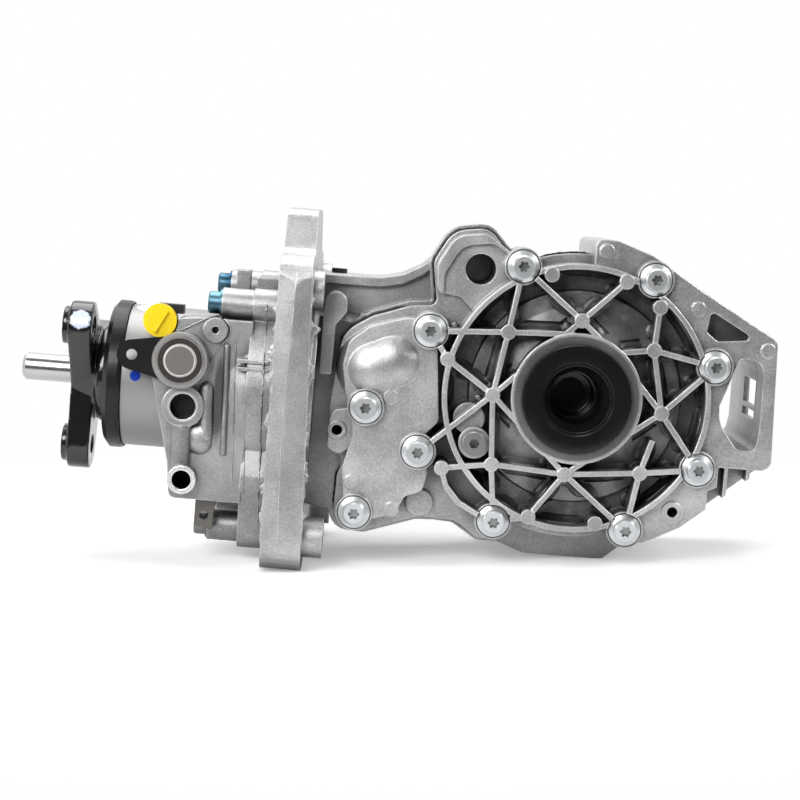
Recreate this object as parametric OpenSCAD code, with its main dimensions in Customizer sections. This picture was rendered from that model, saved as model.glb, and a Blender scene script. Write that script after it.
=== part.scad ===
// Rear final drive for a four-wheel-drive car: a multi-plate clutch coupling, a hypoid gear pair and a
// bevel differential in cast aluminium housings.
// The origin is the centre of the propshaft flange's coupling face. +X runs to the rear along the pinion
// axis, +Y points away from the ribbed side cover, +Z is up.

/* [Layout] */
// Distance from the propshaft flange face to the output axis
axle_x = 294; // [292:0.5:300]
// Height of the output axis above the pinion axis
hypoid_offset = 12.5; // [11:0.5:13.5]
// Plane where the side cover meets the main housing
joint_y = -36; // [-36.5:0.1:-35.5]
// Length of the pads from the housing joint to the coupling gasket face
plate_x = 123; // [122:0.5:124]

/* [Propshaft flange] */
// Bolt circle of the three coupling bolts
flange_pcd = 86; // [82:1:90]
// Radius of the coupling bolt holes
flange_hole_r = 5.25; // [4.5:0.25:6]
// Radius of each arm's end
arm_end_r = 14.5; // [13:0.5:16]
// Thickness of the arms
arm_t = 13; // [11:0.5:15]
// Height of the pads on the arms
pad_h = 4; // [2:0.5:5]
// Radius of the pads on the arms
pad_r = 11; // [9.5:0.5:12]
// Angle of the first arm, seen along +X from +Y towards +Z
arm_angle = 18.3; // [0:0.1:119]
// Radius of the flange's neck
neck_r = 29; // [27:0.5:30]
// Length of the neck behind the arms
neck_len = 10; // [8:0.5:11]
// Radius of the centring pin
pin_r = 8; // [7:0.25:9]
// Length of the centring pin in front of the flange face
pin_len = 27.4; // [20:0.2:35]
// Outer radius of the dust ring
dust_ring_r = 43.5; // [43:0.1:46]
// Width of the dust ring
dust_ring_w = 10.5; // [10:0.1:11.5]

/* [Clutch coupling] */
// Outer radius of the clutch can
can_r = 41.5; // [41:0.1:42]
// Wall of the clutch can
can_wall = 3; // [2.4:0.1:3.4]
// Front face of the clutch can
can_front = 34; // [33:0.1:34.4]
// Outer radius of the clutch drum
drum_r = 37; // [36:0.1:37.5]
// Wall of the clutch drum
drum_wall = 2.7; // [2:0.1:3]
// Number of steel plates, and of friction plates
plate_pairs = 6; // [3:1:6]
// Thickness of one clutch plate
clutch_plate_t = 1.8; // [1.4:0.1:1.8]
// Outer radius of the clutch hub
clutch_hub_r = 22; // [20:0.5:23]
// Travel of the clutch piston
piston_travel = 1.2; // [0.5:0.1:1.3]
// Outer radius of the piston
piston_r = 33; // [32:0.1:34]
// Radius of the coupling housing's round flange
coupling_flange_r = 58; // [56:0.5:60]
// Half the width of the coupling housing's foot
foot_half = 38; // [36:0.5:40]
// Depth of the foot's underside below the pinion axis
foot_z = 92; // [91:0.5:95]

/* [Hypoid gears] */
// Teeth on the ring gear
ring_teeth = 35; // [34:1:36]
// Teeth on the pinion
pinion_teeth = 13; // [12:1:13]
// Radius at the ring gear's heel
ring_r_out = 64; // [62:0.5:65]
// Face width of the ring gear, measured square to its axis
ring_face = 18; // [14:0.5:19]
// Pitch cone angle of the ring gear
ring_cone = 66; // [65.5:0.1:66.5]
// Mean spiral angle of the ring gear
spiral_angle = 35; // [30:1:38]
// Pressure angle of the hypoid teeth
hypoid_pressure = 20; // [19:0.5:21]
// Radius of the face-milling cutter
cutter_r = 62; // [58:1:70]
// Width of a tooth slot at the pitch cone
slot_w = 5; // [4.6:0.1:5.2]
// Tooth clearance at the roots
root_gap = 0.7; // [0.5:0.1:1]
// Play between the hypoid teeth
backlash = 0.16; // [0.1:0.02:0.3]
// Radius of the ring gear's bore
ring_bore_r = 42; // [41.5:0.1:43]
// Plane of the ring gear's back
ring_back_y = -36.5; // [-37:0.1:-36]

/* [Differential] */
// Teeth on each side gear
side_teeth = 14; // [14:2:14]
// Teeth on each spider gear
spider_teeth = 10; // [10:2:10]
// Distance from the centre to the pitch cones' outer edge
bevel_reach = 31; // [30:0.25:31]
// Face width of the bevel gears
bevel_face = 10; // [8:0.5:11]
// Pressure angle of the bevel teeth
bevel_pressure = 25; // [24:0.5:26]
// Radius of the side gears' bores, which take the output shafts
output_bore_r = 13.5; // [13:0.1:13.8]
// Wall of the differential case behind the spider gears
case_wall = 10.1; // [9:0.1:10.5]
// Radius of the case's journals
journal_r = 20; // [19.5:0.1:20.5]
// Length of the side gears' bores
output_bore_len = 19; // [18:0.25:19]
// Bore through the journals
journal_bore_r = 16; // [15.6:0.1:16.4]
// Radius of the cross pin
cross_pin_r = 8; // [7.5:0.1:8.2]

/* [Bearings and seals] */
// Outer radius of the differential bearings
diff_bearing_r = 31; // [30:0.1:31.5]
// Width of the differential bearings
diff_bearing_w = 15; // [13:0.5:15]
// Outer radius of the pinion head bearing
head_bearing_r = 33; // [32:0.1:33.5]
// Outer radius of the pinion tail bearing
tail_bearing_r = 31; // [29:0.1:32]
// Outer radius of the input bearing
input_bearing_r = 36; // [34:0.1:36.5]
// Outer radius of the output seals
seal_r = 30.8; // [30:0.1:31.5]
// Depth of the output seals
seal_w = 7.7; // [6:0.1:8]

/* [Housings] */
// Room around the ring gear in its chamber
chamber_room = 5; // [4:0.25:6]
// Wall around the ring chamber
chamber_wall = 8; // [6:0.5:9]
// Radius of the cover's rim bolt circle
rim_bolt_r = 80; // [79:0.1:81]
// Radius of the bosses under the cover bolts
boss_r = 10.5; // [9.5:0.5:11.5]
// Radius of the cover's circular rib
rim_rib_r = 74.2; // [73:0.1:75]
// Thickness of the cover's ribs
rib_t = 3; // [2.4:0.1:4]
// Height of the cover's ribs above the joint
rib_h = 26; // [22:0.5:28]
// Thickness of the cover's flange
cover_flange_t = 8; // [7:0.5:9]
// Thickness of the cover's web
cover_web_t = 4.5; // [4:0.25:6]
// Height of the cover's left plateau above the joint
plateau_h = 20; // [16:0.5:21]
// Height of the rear bracket above the joint
bracket_h = 19; // [17:0.5:20]
// Outer radius of the cover's hub
hub_r = 37; // [36:0.5:40]
// Half the width of the mounting plate
mount_plate_half = 80; // [78:0.5:84]
// Thickness of the mounting plate at its foot
mount_plate_t = 23; // [20:0.5:26]
// Distance between the mounting bolts across the car
mount_span_y = 124; // [118:1:128]
// Distance between the mounting bolts up and down
mount_span_z = 140; // [136:1:144]
// Radius of the mounting bolt holes
mount_hole_r = 6.5; // [5.5:0.25:7]
// Radius of the bosses behind the mounting bolt holes
mount_boss_r = 11.5; // [10.5:0.25:12.5]
// Radius of the hanger bore in the cover's lobe
hanger_bore_r = 8.7; // [8:0.1:9.5]

/* [Clearances] */
// Gap around pieces that are pressed or screwed together
seat_gap = 0.05; // [0.03:0.01:0.08]
// Gap around pieces that turn or slide in each other
run_gap = 0.1; // [0.08:0.01:0.14]
// Gap between bearing rollers and their rings
roller_gap = 0.12; // [0.1:0.01:0.16]

/* [Hidden] */
round_fn = 72;
over = 1;

cast = "silver";
steel = "lightsteelblue";
black = "#202022";

// Stations along the pinion axis
arm_x0 = pad_h;
arm_x1 = arm_x0 + arm_t;
neck_x1 = arm_x1 + neck_len;
dust_x0 = neck_x1 - 2.5;
dust_x1 = dust_x0 + dust_ring_w;
seal_in_x0 = can_front + 0.5;
seal_in_x1 = seal_in_x0 + 7.5;
bearing_in_x0 = can_front + 12;
bearing_in_x1 = bearing_in_x0 + 16;
drum_x0 = bearing_in_x1 + 4;
drum_web = 3.5;
clutch_gap = 0.3;
stack_x0 = drum_x0 + drum_web + 1.5;
plate_pitch = 2 * (clutch_plate_t + clutch_gap);
stack_x1 = stack_x0 + plate_pitch * plate_pairs;
pressure_x0 = stack_x1 + clutch_gap;
pressure_x1 = pressure_x0 + 4;
can_back = plate_x - 28;
coupling_x1 = plate_x - 1;
thrust_x0 = pressure_x1 + piston_travel + clutch_gap;
thrust_x1 = thrust_x0 + 3;
piston_x0 = thrust_x1 + seat_gap;
piston_x1 = coupling_x1 - 9.5;
drum_x1 = pressure_x1 + 0.6;
tail_x0 = plate_x + 5;
tail_x1 = tail_x0 + 18;
head_x1 = axle_x - 72;
head_x0 = head_x1 - 22;

// Radius of the chamber round the ring gear
ring_rim = 1;
chamber_r = ring_r_out + ring_rim + chamber_room;
// Radii of the shafts
shaft_r = 14;
tail_seal_r = 20;
input_journal_r = 17.5;
pilot_bore_r = 9;
pinion_nose_r = 6;
hub_spline_r = 12;
pinion_seal_r = 13.5;
tail_journal_r = 15;
head_journal_r = 17;

// Planes along the output axis
web_in_y = joint_y - 4.5;
web_out_y = web_in_y - cover_web_t;
rib_y = joint_y - rib_h;
boss_y = joint_y - 22;
cover_face_y = joint_y - cover_flange_t;
plateau_y = joint_y - plateau_h;
bracket_y = joint_y - bracket_h;
bulge_y = joint_y - 3.5;
near_cup_y0 = joint_y - 20;
near_cup_y1 = near_cup_y0 + diff_bearing_w;
far_cup_y0 = -joint_y;
far_cup_y1 = far_cup_y0 + diff_bearing_w;
near_seal_y1 = near_cup_y0 - 2.3;
near_seal_y0 = near_seal_y1 - seal_w;
far_seal_y0 = far_cup_y1 + 2.3;
far_seal_y1 = far_seal_y0 + seal_w;
shoulder_r = diff_bearing_r - 4;
ring_r_in = ring_r_out - ring_face;

// Cover bolts and cast pads, in the plane of the cover, from the output axis
bolt_a = [-84.7, 31.3];
bolt_b = [-117.7, -14.7];
bolt_c = [-86.5, -37.4];
bolt_d = [-119.6, -74.8];
bolt_e = [-40.6, -73.4];
rim_angles = [116.7, 61.1, 17.4, -25.8, -64.8];
rim_bolts = [for (a = rim_angles) rim_bolt_r * [cos(a), sin(a)]];
bolt_f = rim_bolts[0];
bolt_g = rim_bolts[1];
bolt_h = rim_bolts[2];
bolt_i = rim_bolts[3];
bolt_j = rim_bolts[4];
cover_bolt_places = concat([bolt_a, bolt_b, bolt_c, bolt_d, bolt_e], rim_bolts);
pad_1 = [-41.3, 34.3];
pad_2 = [-74, 16.4];
pad_3 = [-47.1, -1.6];
pad_4 = [-19.8, 68.3];
pad_5 = [-0.8, 44];
pad_6 = [22.3, 67.7];
pad_7 = [42.2, 55];
pad_8 = [41, 30.7];
pad_9 = [48.4, -4.4];
pad_10 = [39.3, -39.1];
pad_11 = [-2.9, -43.2];
pad_12 = [-44.5, -40.9];
pad_13 = [-72.4, -45.2];
pad_14 = [-21.3, -69];
pad_15 = [16.8, -69.7];
hub_knot = [19.2, 27.2];
cast_pads = [pad_1, pad_2, pad_3, pad_4, pad_5, pad_6, pad_7, pad_8, pad_9, pad_10, pad_11, pad_12,
    pad_13, pad_14, pad_15];
rib_lines = [
    [bolt_a, pad_1, [-4, 36]],
    [bolt_f, pad_1, pad_3],
    [pad_3, pad_12, bolt_e],
    [pad_13, pad_12, pad_11],
    [pad_11, pad_10, bolt_i],
    [[44.8, -20.1], pad_10, bolt_j],
    [pad_7, pad_8, pad_9],
    [hub_knot, pad_8, bolt_h],
    [bolt_f, pad_5, hub_knot, pad_9, bolt_i],
    [bolt_a, pad_2, pad_3, pad_11, bolt_j],
    [bolt_c, pad_3, pad_5, pad_6, bolt_g],
    [bolt_e, pad_14, pad_11, pad_9, bolt_h],
    [pad_13, [-69, -55.5], [-61.5, -64], [-51, -69.5], bolt_e]
];
plateau_pads = [[-122.6, -58], [-98.6, -71.9], [-104, -8]];
bracket_pads = [[10.4, 83.5], [64.6, 55.4], [106, 35.2]];
pad_circle_r = 4.2;
lobe = [-59.1, 67.6];
bulge_place = [-115, 7];
bulge_r = 22;
bulge_len = 12;
bulge_tilt = 24;
sump_disc = [-82.9, -68];
fill_boss = [-55.2, -29.7];
upper_boss = [-59.2, -16.2];
lug_hole = [-133, -29.9];
tail_hole = [60.6, -60.6];
small_hole_r = 3;

// Small pieces
m8_r = 4;
m8_head_r = 6.4;
m8_flange_r = 9;
coupling_bolt_places = [[-36, 48.5], [20, 57], [58, 20], [56, -34], [26, -81], [-26, -81]];
m8_thread_depth = 11;

function corner(a, p, b, r, n) = let (
        u = (a - p) / norm(a - p), v = (b - p) / norm(b - p), half = acos(u * v) / 2,
        c = p + (u + v) / norm(u + v) * r / sin(half),
        s = p + u * r / tan(half) - c, e = p + v * r / tan(half) - c,
        a0 = atan2(s[1], s[0]), turn = (atan2(e[1], e[0]) - a0 + 540) % 360 - 180)
    [for (i = [0:n]) c + r * [cos(a0 + turn * i / n), sin(a0 + turn * i / n)]];

// Outline through [x, y, corner radius] points
function rounded(points, n = 5) = let (count = len(points)) [for (i = [0:count - 1]) let (
        p = points[i], a = points[(i + count - 1) % count], b = points[(i + 1) % count])
    each p[2] == 0 ? [[p[0], p[1]]] : corner([a[0], a[1]], [p[0], p[1]], [b[0], b[1]], p[2], n)];

// Solid of revolution about the pinion axis, from [x, radius] points
module turn_x(points) rotate([0, 90, 0]) rotate_extrude($fn = round_fn)
    polygon([for (p = points) [p[1], p[0]]]);

// Solid of revolution about the Y axis, from [y, radius] points
module turn_y(points) rotate([-90, 0, 0]) rotate_extrude($fn = round_fn)
    polygon([for (p = points) [p[1], p[0]]]);

module ring_x(x0, x1, r_in, r_out) turn_x([[x0, r_in], [x1, r_in], [x1, r_out], [x0, r_out]]);
module ring_y(y0, y1, r_in, r_out) turn_y([[y0, r_in], [y1, r_in], [y1, r_out], [y0, r_out]]);
module rod_x(x0, x1, r)
    translate([x0, 0, 0]) rotate([0, 90, 0]) cylinder(r = r, h = x1 - x0, $fn = round_fn);
module rod_y(y0, y1, r)
    translate([0, y0, 0]) rotate([-90, 0, 0]) cylinder(r = r, h = y1 - y0, $fn = round_fn);

// Prism with its outline in the X-Z plane
module slab_y(y0, y1) translate([0, y1, 0]) rotate([90, 0, 0]) linear_extrude(y1 - y0) children();

// Prism with its outline in the Y-Z plane
module slab_x(x0, x1) translate([x0, 0, 0]) rotate([90, 0, 90]) linear_extrude(x1 - x0) children();

module at_axle() translate([axle_x, 0, hypoid_offset]) children();
module spot(p) translate([p[0], 0, p[1]]) children();
module bar(a, b, w) translate(a) rotate(atan2(b[1] - a[1], b[0] - a[0]))
    translate([0, -w / 2]) square([norm(b - a), w]);

// Side cover and main housing share this outline
left_outline = rounded([[-138, -12, 7], [-134, 26, 18], [-118, 36, 14], [-97, 43.5, 6], [-82, 45, 4],
    [-86, 70, 12], [-76, 88, 14], [-56, 91, 10], [-45, 79, 0], [-20, 60, 0], [-20, -60, 0], [-29, -79, 5],
    [-36, -86, 6], [-48, -86, 6], [-62, -77, 8], [-82, -76, 8], [-114, -87, 8], [-132, -86, 9],
    [-131, -56, 8], [-127, -44, 8], [-139, -40, 7]]);
bracket_outline = rounded([[4, 60, 0], [4, 90, 4], [16, 90, 4], [37, 83, 8], [66, 65.5, 8], [111, 41, 5],
    [114, -30, 5], [106, -35, 5], [66, -69, 8], [44, -80.5, 8], [30, -76, 0], [30, -50, 0]]);
window_outline = rounded([[88.5, 24.5, 3], [92, 30, 4], [102, 28.5, 5], [105, 22, 5], [105.5, -12, 6],
    [104, -22, 4], [94, -22.5, 5], [83, -9, 8], [81, 2, 8]]);
pocket_outline = rounded([[72, 55, 2], [99, 40.6, 2], [77, 38.2, 2], [70.5, 43, 2]]);
plateau_outline = rounded([[-132.5, 8, 10], [-130, 22, 10], [-119, 31, 8], [-100, 37, 8], [-84, 38, 5],
    [-80, 22, 6], [-76, -20, 5], [-83, -27, 5], [-80, -50, 6], [-82, -60, 5], [-92, -64, 4],
    [-96, -74, 4], [-112, -79, 8], [-126, -70, 6], [-128.5, -50, 8], [-124, -32, 8], [-125, -20, 6],
    [-130, -6, 8]]);
lobe_outline = rounded([[-83, 53, 5], [-83.5, 69, 10], [-74.5, 85.5, 12], [-57, 88, 8], [-43, 78.5, 4],
    [-39.5, 60, 4], [-51, 56, 3], [-54.5, 46, 4], [-61, 42.5, 4], [-69, 51, 4]]);
lug_outline = rounded([[-122, -16, 3], [-136, -18.5, 4], [-137.5, -24, 3], [-138, -40.5, 4],
    [-131, -44, 4], [-118, -34, 3]]);

module joint_plate(y0, y1) {
    rod_y(y0, y1, rim_bolt_r + 1);
    slab_y(y0, y1) polygon(left_outline);
    for (p = rim_bolts) spot(p) rod_y(y0, y1, boss_r);
}

module bracket_plate() {
    difference() {
        polygon(bracket_outline);
        polygon(window_outline);
    }
}

// Front of the bracket, with its triangular pocket and the two ribs under the window
module bracket_front() {
    difference() {
        bracket_plate();
        polygon(pocket_outline);
        difference() {
            polygon([[84.5, -33], [120, -33], [120, -80], [79.5, -80], [79.5, -47], [84.5, -44.5]]);
            for (x = [88, 100.5]) translate([x, -60]) square([2, 40]);
        }
    }
}

module side_cover() {
    color(cast) at_axle() difference() {
        union() {
            joint_plate(cover_face_y, joint_y);
            difference() {
                union() {
                    slab_y(cover_face_y, joint_y) bracket_plate();
                    slab_y(bracket_y, cover_face_y + over) bracket_front();
                }
                rod_y(bracket_y - over, joint_y + over, rim_rib_r);
            }
            ring_y(rib_y, web_out_y + over, rim_rib_r - rib_t / 2, rim_rib_r + rib_t / 2);
            cover_ribs();
            for (p = cast_pads) spot(p) rod_y(rib_y - 0.6, web_out_y + over, pad_circle_r);
            for (p = bracket_pads) spot(p) rod_y(bracket_y - 0.6, web_out_y + over, pad_circle_r);
            for (p = cover_bolt_places) spot(p) rod_y(boss_y - 1, cover_face_y + over, boss_r);
            turn_y([[near_seal_y0 + 3, seal_r + seat_gap], [near_seal_y0 + 3, hub_r],
                [web_out_y - 7, hub_r], [web_out_y - 3.5, hub_r + 14], [web_out_y - 3, hub_r + 23],
                [web_out_y + over, hub_r + 24], [web_out_y + over, seal_r + seat_gap]]);
            plateau();
            lobe_cap();
            spot(fill_boss) rod_y(rib_y + 2, cover_face_y + over, 9);
            spot(upper_boss) rod_y(rib_y + 4, cover_face_y + over, 9);
            spot(sump_disc) rod_y(joint_y - 11, cover_face_y + over, 7.7);
            spot(tail_hole) rod_y(bracket_y - 0.6, cover_face_y, small_hole_r + 3);
        }
        rod_y(web_in_y, joint_y + over, chamber_r + 1);
        rod_y(near_cup_y0, joint_y, diff_bearing_r + seat_gap);
        rod_y(near_seal_y0 - over, joint_y, shoulder_r);
        rod_y(near_seal_y0 - over, near_seal_y1 + 0.1, seal_r + seat_gap);
        for (p = cover_bolt_places) spot(p) {
            rod_y(boss_y - over, joint_y + over, m8_r + 0.4);
            rod_y(boss_y - 10, boss_y, m8_flange_r + 0.6);
        }
        spot(fill_boss) rod_y(rib_y, joint_y, 6.5 + seat_gap);
        spot(lug_hole) rod_y(boss_y, joint_y + over, small_hole_r);
        spot(tail_hole) rod_y(boss_y, joint_y + 3, small_hole_r);
        spot(lobe) rod_y(boss_y, joint_y + over, hanger_bore_r);
    }
}

module cover_ribs() for (line = rib_lines) for (i = [1:len(line) - 1])
    slab_y(rib_y, web_out_y + over) bar(line[i - 1], line[i], rib_t);

// Raised left part of the cover, with its kidney-shaped bulge and the small lug
module plateau() {
    slab_y(plateau_y, cover_face_y + over) polygon(plateau_outline);
    intersection() {
        spot(bulge_place) translate([0, bulge_y, 0]) rotate([0, -bulge_tilt, 0]) union() {
            for (x = [0, bulge_len]) translate([x, 0, 0]) sphere(r = bulge_r, $fn = round_fn);
            rod_x(0, bulge_len, bulge_r);
        }
        slab_y(plateau_y - 10, cover_face_y + over) translate(bulge_place - [bulge_r, bulge_r])
            square([3 * bulge_r, 2.2 * bulge_r]);
    }
    for (p = plateau_pads) spot(p) rod_y(plateau_y - 0.6, cover_face_y, pad_circle_r);
    slab_y(joint_y - 13, cover_face_y + over) polygon(lug_outline);
    spot(lug_hole) rod_y(joint_y - 13.6, cover_face_y, 5.3);
}

// Lobe round the hanger bore, with a raised rim along its outer side
module lobe_cap() {
    slab_y(joint_y - 11, cover_face_y + over) polygon(lobe_outline);
    slab_y(joint_y - 14, cover_face_y + over) difference() {
        polygon(lobe_outline);
        translate([4, -5]) polygon(lobe_outline);
    }
}

// Bead of sealant squeezed out of the cover joint
module cover_sealant() {
    color(black) at_axle() difference() {
        joint_plate(joint_y + 0.02, joint_y + 0.78);
        rod_y(joint_y - over, joint_y + 2, chamber_r + 2);
        for (p = cover_bolt_places) spot(p) rod_y(joint_y - over, joint_y + 2, m8_r + 0.4);
        spot(lug_hole) rod_y(joint_y - over, joint_y + 2, small_hole_r);
        spot(lobe) rod_y(joint_y - over, joint_y + 2, hanger_bore_r);
    }
}

housing_y = joint_y + 0.8;
far_wall_y = far_cup_y0 - 2;
plate_outline = rounded([[-mount_plate_half, -97, 16], [-mount_plate_half, 80, 16], [-46, 80, 10],
    [-30, 105.6, 10], [30, 105.6, 10], [46, 80, 10], [mount_plate_half, 80, 16],
    [mount_plate_half, -97, 16], [44, -97, 6], [34, -86, 8], [-34, -86, 8], [-44, -97, 6]], 6);
mount_z = -8;
plate_back_x = plate_x + mount_plate_t;
rail_line = [[14, 69.5], [55, 70.2], [68, 73], [79, 79], [90, 89], [104, 95], [112, 95]];
oval_pad = rounded([[25.5, 14, 1], [25.5, 61, 6.4], [38.3, 61, 6.4], [38.3, 50, 3], [32.3, 42, 3],
    [32.3, 14, 1]]);

module mounting_plate() {
    edge = mount_plate_half;
    intersection() {
        slab_x(plate_x - 2, plate_x + 26) polygon(plate_outline);
        slab_y(-edge, edge) polygon([[plate_x, 106], [plate_back_x - 5.5, 106],
            [plate_back_x + 1, -97], [plate_x + 1, -97]]);
        translate([0, 0, -100]) linear_extrude(210) polygon([[plate_x - 2, 1.6 - edge],
            [plate_x + 10, -edge], [plate_x + 26, 1.8 - edge], [plate_x + 26, edge - 1.8],
            [plate_x + 10, edge], [plate_x - 2, edge - 1.6]]);
    }
    for (y = [-0.5, 0.5]) translate([0, y * mount_span_y, mount_z]) {
        translate([0, 0, -mount_span_z / 2]) rod_x(plate_x + 12, plate_back_x + 12, mount_boss_r);
        translate([0, 0, mount_span_z / 2]) rod_x(plate_x + 12, plate_back_x + 2, mount_boss_r - 1);
    }
}

// Web over the pinion with a thicker rail along its top, up to the hanger lobe
module top_web() {
    slab_y(housing_y + 9, 12) polygon(concat([for (p = rail_line) [plate_x + p[0], p[1]]],
        [[plate_x + 112, 50], [plate_x + 14, 40]]));
    slab_y(housing_y + 4, 12) polygon(concat([for (p = rail_line) [plate_x + p[0], p[1]]],
        [for (i = [len(rail_line) - 1:-1:0]) [plate_x + rail_line[i][0] + 1, rail_line[i][1] - 5]]));
    slab_y(housing_y, 0) polygon([[plate_x + 46, 36], [plate_x + 46, 49], [plate_x + 56, 49],
        [plate_x + 56, 36]]);
}

// Rear bracket: a tunnel with thin walls behind the cover's window, slotted on its outer side
module rear_bracket() difference() {
    slab_y(joint_y + 2.2, bracket_far_y) bracket_plate();
    slab_y(joint_y + 12, bracket_far_y + over) polygon(pocket_outline);
    translate([108.2, joint_y + 4, -10]) cube([20, 60, 30]);
    for (z = [[1, 16], [-6.5, -1.5]]) translate([100, joint_y + 4, z[0]]) cube([20, 38, z[1] - z[0]]);
}
bracket_far_y = -joint_y + 16;

module housing_solid() {
    mounting_plate();
    turn_x([[plate_x, 0], [plate_x, 62], [plate_back_x, 58], [plate_back_x, 0]]);
    intersection() {
        turn_x([[plate_back_x - 1, 0], [plate_back_x - 1, 58], [plate_x + 32, 57], [head_x0, 52],
            [head_x1 + 14, 56], [head_x1 + 14, 0]]);
        slab_y(housing_y, 60) translate([plate_x, -100]) square([200, 200]);
    }
    slab_y(joint_y - 13, housing_y + 12) translate([plate_x, 0]) polygon(oval_pad);
    at_axle() {
        joint_plate(housing_y, joint_y + 12);
        slab_y(housing_y, joint_y + 12) offset(delta = 2.6) polygon(left_outline);
        turn_y([[housing_y, 0], [housing_y, chamber_r + chamber_wall], [-4, chamber_r + chamber_wall],
            [14, chamber_r - 8], [far_cup_y0 - 1, 54], [far_cup_y0 + 4, 42], [far_seal_y1 - 0.5, 40],
            [far_seal_y1 - 0.5, 0]]);
        slab_y(housing_y, joint_y + 46) translate(lobe) circle(r = 16, $fn = round_fn);
        rear_bracket();
        for (a = [20:40:340]) rotate([0, -a, 0]) translate([38, 0, -2]) linear_extrude(4)
            polygon([[0, 0], [36, 0], [36, 4], [20, far_cup_y0 - 2], [4, far_cup_y1], [0, far_cup_y1]]);
    }
    top_web();
    slab_y(housing_y, 34) polygon([[plate_x + 14, -40], [plate_x + 14, -62], [plate_x + 60, -68],
        [axle_x - 60, -66], [axle_x - 60, -30]]);
    slab_y(joint_y + 10, 46) polygon(rounded([[axle_x - 66, -40, 0], [axle_x - 40, -76, 14],
        [axle_x - 20, sump_z, 6], [axle_x + 26, sump_z, 5], [axle_x + 46, -66, 12],
        [axle_x + 50, -40, 0]]));
}

module main_housing() {
    color(cast) difference() {
        housing_solid();
        at_axle() {
            rod_y(joint_y - over, -10, chamber_r);
            rod_y(-12, far_wall_y - 12, 52);
            rod_y(far_wall_y - 13, far_wall_y, 46);
            rod_y(far_cup_y0, far_cup_y1, diff_bearing_r + seat_gap);
            rod_y(far_wall_y - over, far_seal_y1, shoulder_r);
            rod_y(far_cup_y0 - 7, far_cup_y0 + over, diff_bearing_r + seat_gap);
            rod_y(far_seal_y0 - 0.1, far_seal_y1 + over, seal_r + seat_gap);
            for (p = cover_bolt_places) spot(p)
                rod_y(joint_y - over, joint_y + 0.8 + m8_thread_depth, m8_r + seat_gap);
            spot(lobe) rod_y(joint_y - over, joint_y + 36, hanger_bore_r);
            spot(lug_hole) rod_y(joint_y - over, joint_y + 20, small_hole_r);
            translate([-18, -14, sump_z - hypoid_offset + 12]) cube([40, 40, 40]);
        }
        rod_x(head_x0, head_x1 + 40, head_bearing_r + seat_gap);
        rod_x(head_x0 - 5, head_x0 + over, head_bearing_r - 4);
        rod_x(tail_x1, head_x0, 22);
        rod_x(plate_x - over, tail_x1, tail_bearing_r + seat_gap);
        for (y = [-0.5, 0.5]) for (z = [-0.5, 0.5])
            translate([0, y * mount_span_y, mount_z + z * mount_span_z])
            rod_x(plate_x - 2, plate_x + 40, mount_hole_r);
        for (p = coupling_bolt_places)
            translate([0, p[0], p[1]]) rod_x(plate_x - over, plate_x + 13, m8_r + seat_gap);
        for (p = dowel_places)
            translate([0, p[0], p[1]]) rod_x(plate_x - over, plate_x + 6, dowel_r + seat_gap);
        translate(drain_place) cylinder(r = 7 + seat_gap, h = 16, $fn = round_fn);
        translate(drain_place - [0, 0, 6]) cylinder(r = 10.5, h = 6.5, $fn = round_fn);
        translate(breather_place) translate([0, 0, -12]) cylinder(r = 3 + seat_gap, h = 20, $fn = round_fn);
    }
}

dowel_r = 4;
dowel_places = [[-46, 18], [40, -32]];
sump_z = -83.1;
drain_place = [axle_x + 2, 20, sump_z + 3];
breather_place = [plate_x + 31, 2, 69.9];

module cover_bolts() {
    color("gainsboro") at_axle() for (p = cover_bolt_places) spot(p)
        flange_bolt(boss_y, joint_y + m8_thread_depth);
}

// Flanged screw with a hexalobular socket; the head's seat is at y0 and the tip at y1
module flange_bolt(y0, y1) {
    difference() {
        turn_y([[y0 - 8, 0], [y0 - 8, m8_head_r - 0.8], [y0 - 7.2, m8_head_r],
            [y0 - 2.6, m8_head_r + 0.2], [y0 - 1.5, m8_flange_r], [y0 - seat_gap / 2, m8_flange_r],
            [y0 - seat_gap / 2, m8_r], [y1 - 1, m8_r], [y1, m8_r - 1], [y1, 0]]);
        slab_y(y0 - 9, y0 - 4.4) union() {
            circle(r = 2.5, $fn = 24);
            for (a = [0:60:300]) rotate(a) translate([2.5, 0]) circle(r = 0.75, $fn = 16);
        }
    }
}

module coupling_bolts() {
    color("steelblue") for (p = coupling_bolt_places) translate([0, p[0], p[1]]) {
        difference() {
            turn_x([[bolt_seat_x - 8, 0], [bolt_seat_x - 8, 5.6], [bolt_seat_x - 7.2, 6.4],
                [bolt_seat_x - 1.6, 6.4], [bolt_seat_x - 1.2, 8], [bolt_seat_x - seat_gap / 2, 8],
                [bolt_seat_x - seat_gap / 2, m8_r], [plate_x + 11, m8_r], [plate_x + 12, m8_r - 1],
                [plate_x + 12, 0]]);
            slab_x(bolt_seat_x - 9, bolt_seat_x - 4) circle(r = 3, $fn = 6);
        }
    }
}

bolt_seat_x = plate_x - 33;
port_mid = [72.9, -10.9];
port_low = [75.7, -51.7];
cap_place = [70, 15.4];
ear_place = [88.2, 33.8];
port_face_y = -56;
port_mid_r = 7.3;
port_low_r = 5.4;
block_outline = rounded([[54, 4, 4], [56, 24, 12], [66, 39, 8], [86, 40.5, 7], [95, 34, 5], [97, 20, 0],
    [97, -64, 0], [68, -64, 4], [66, -44, 6]]);

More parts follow.
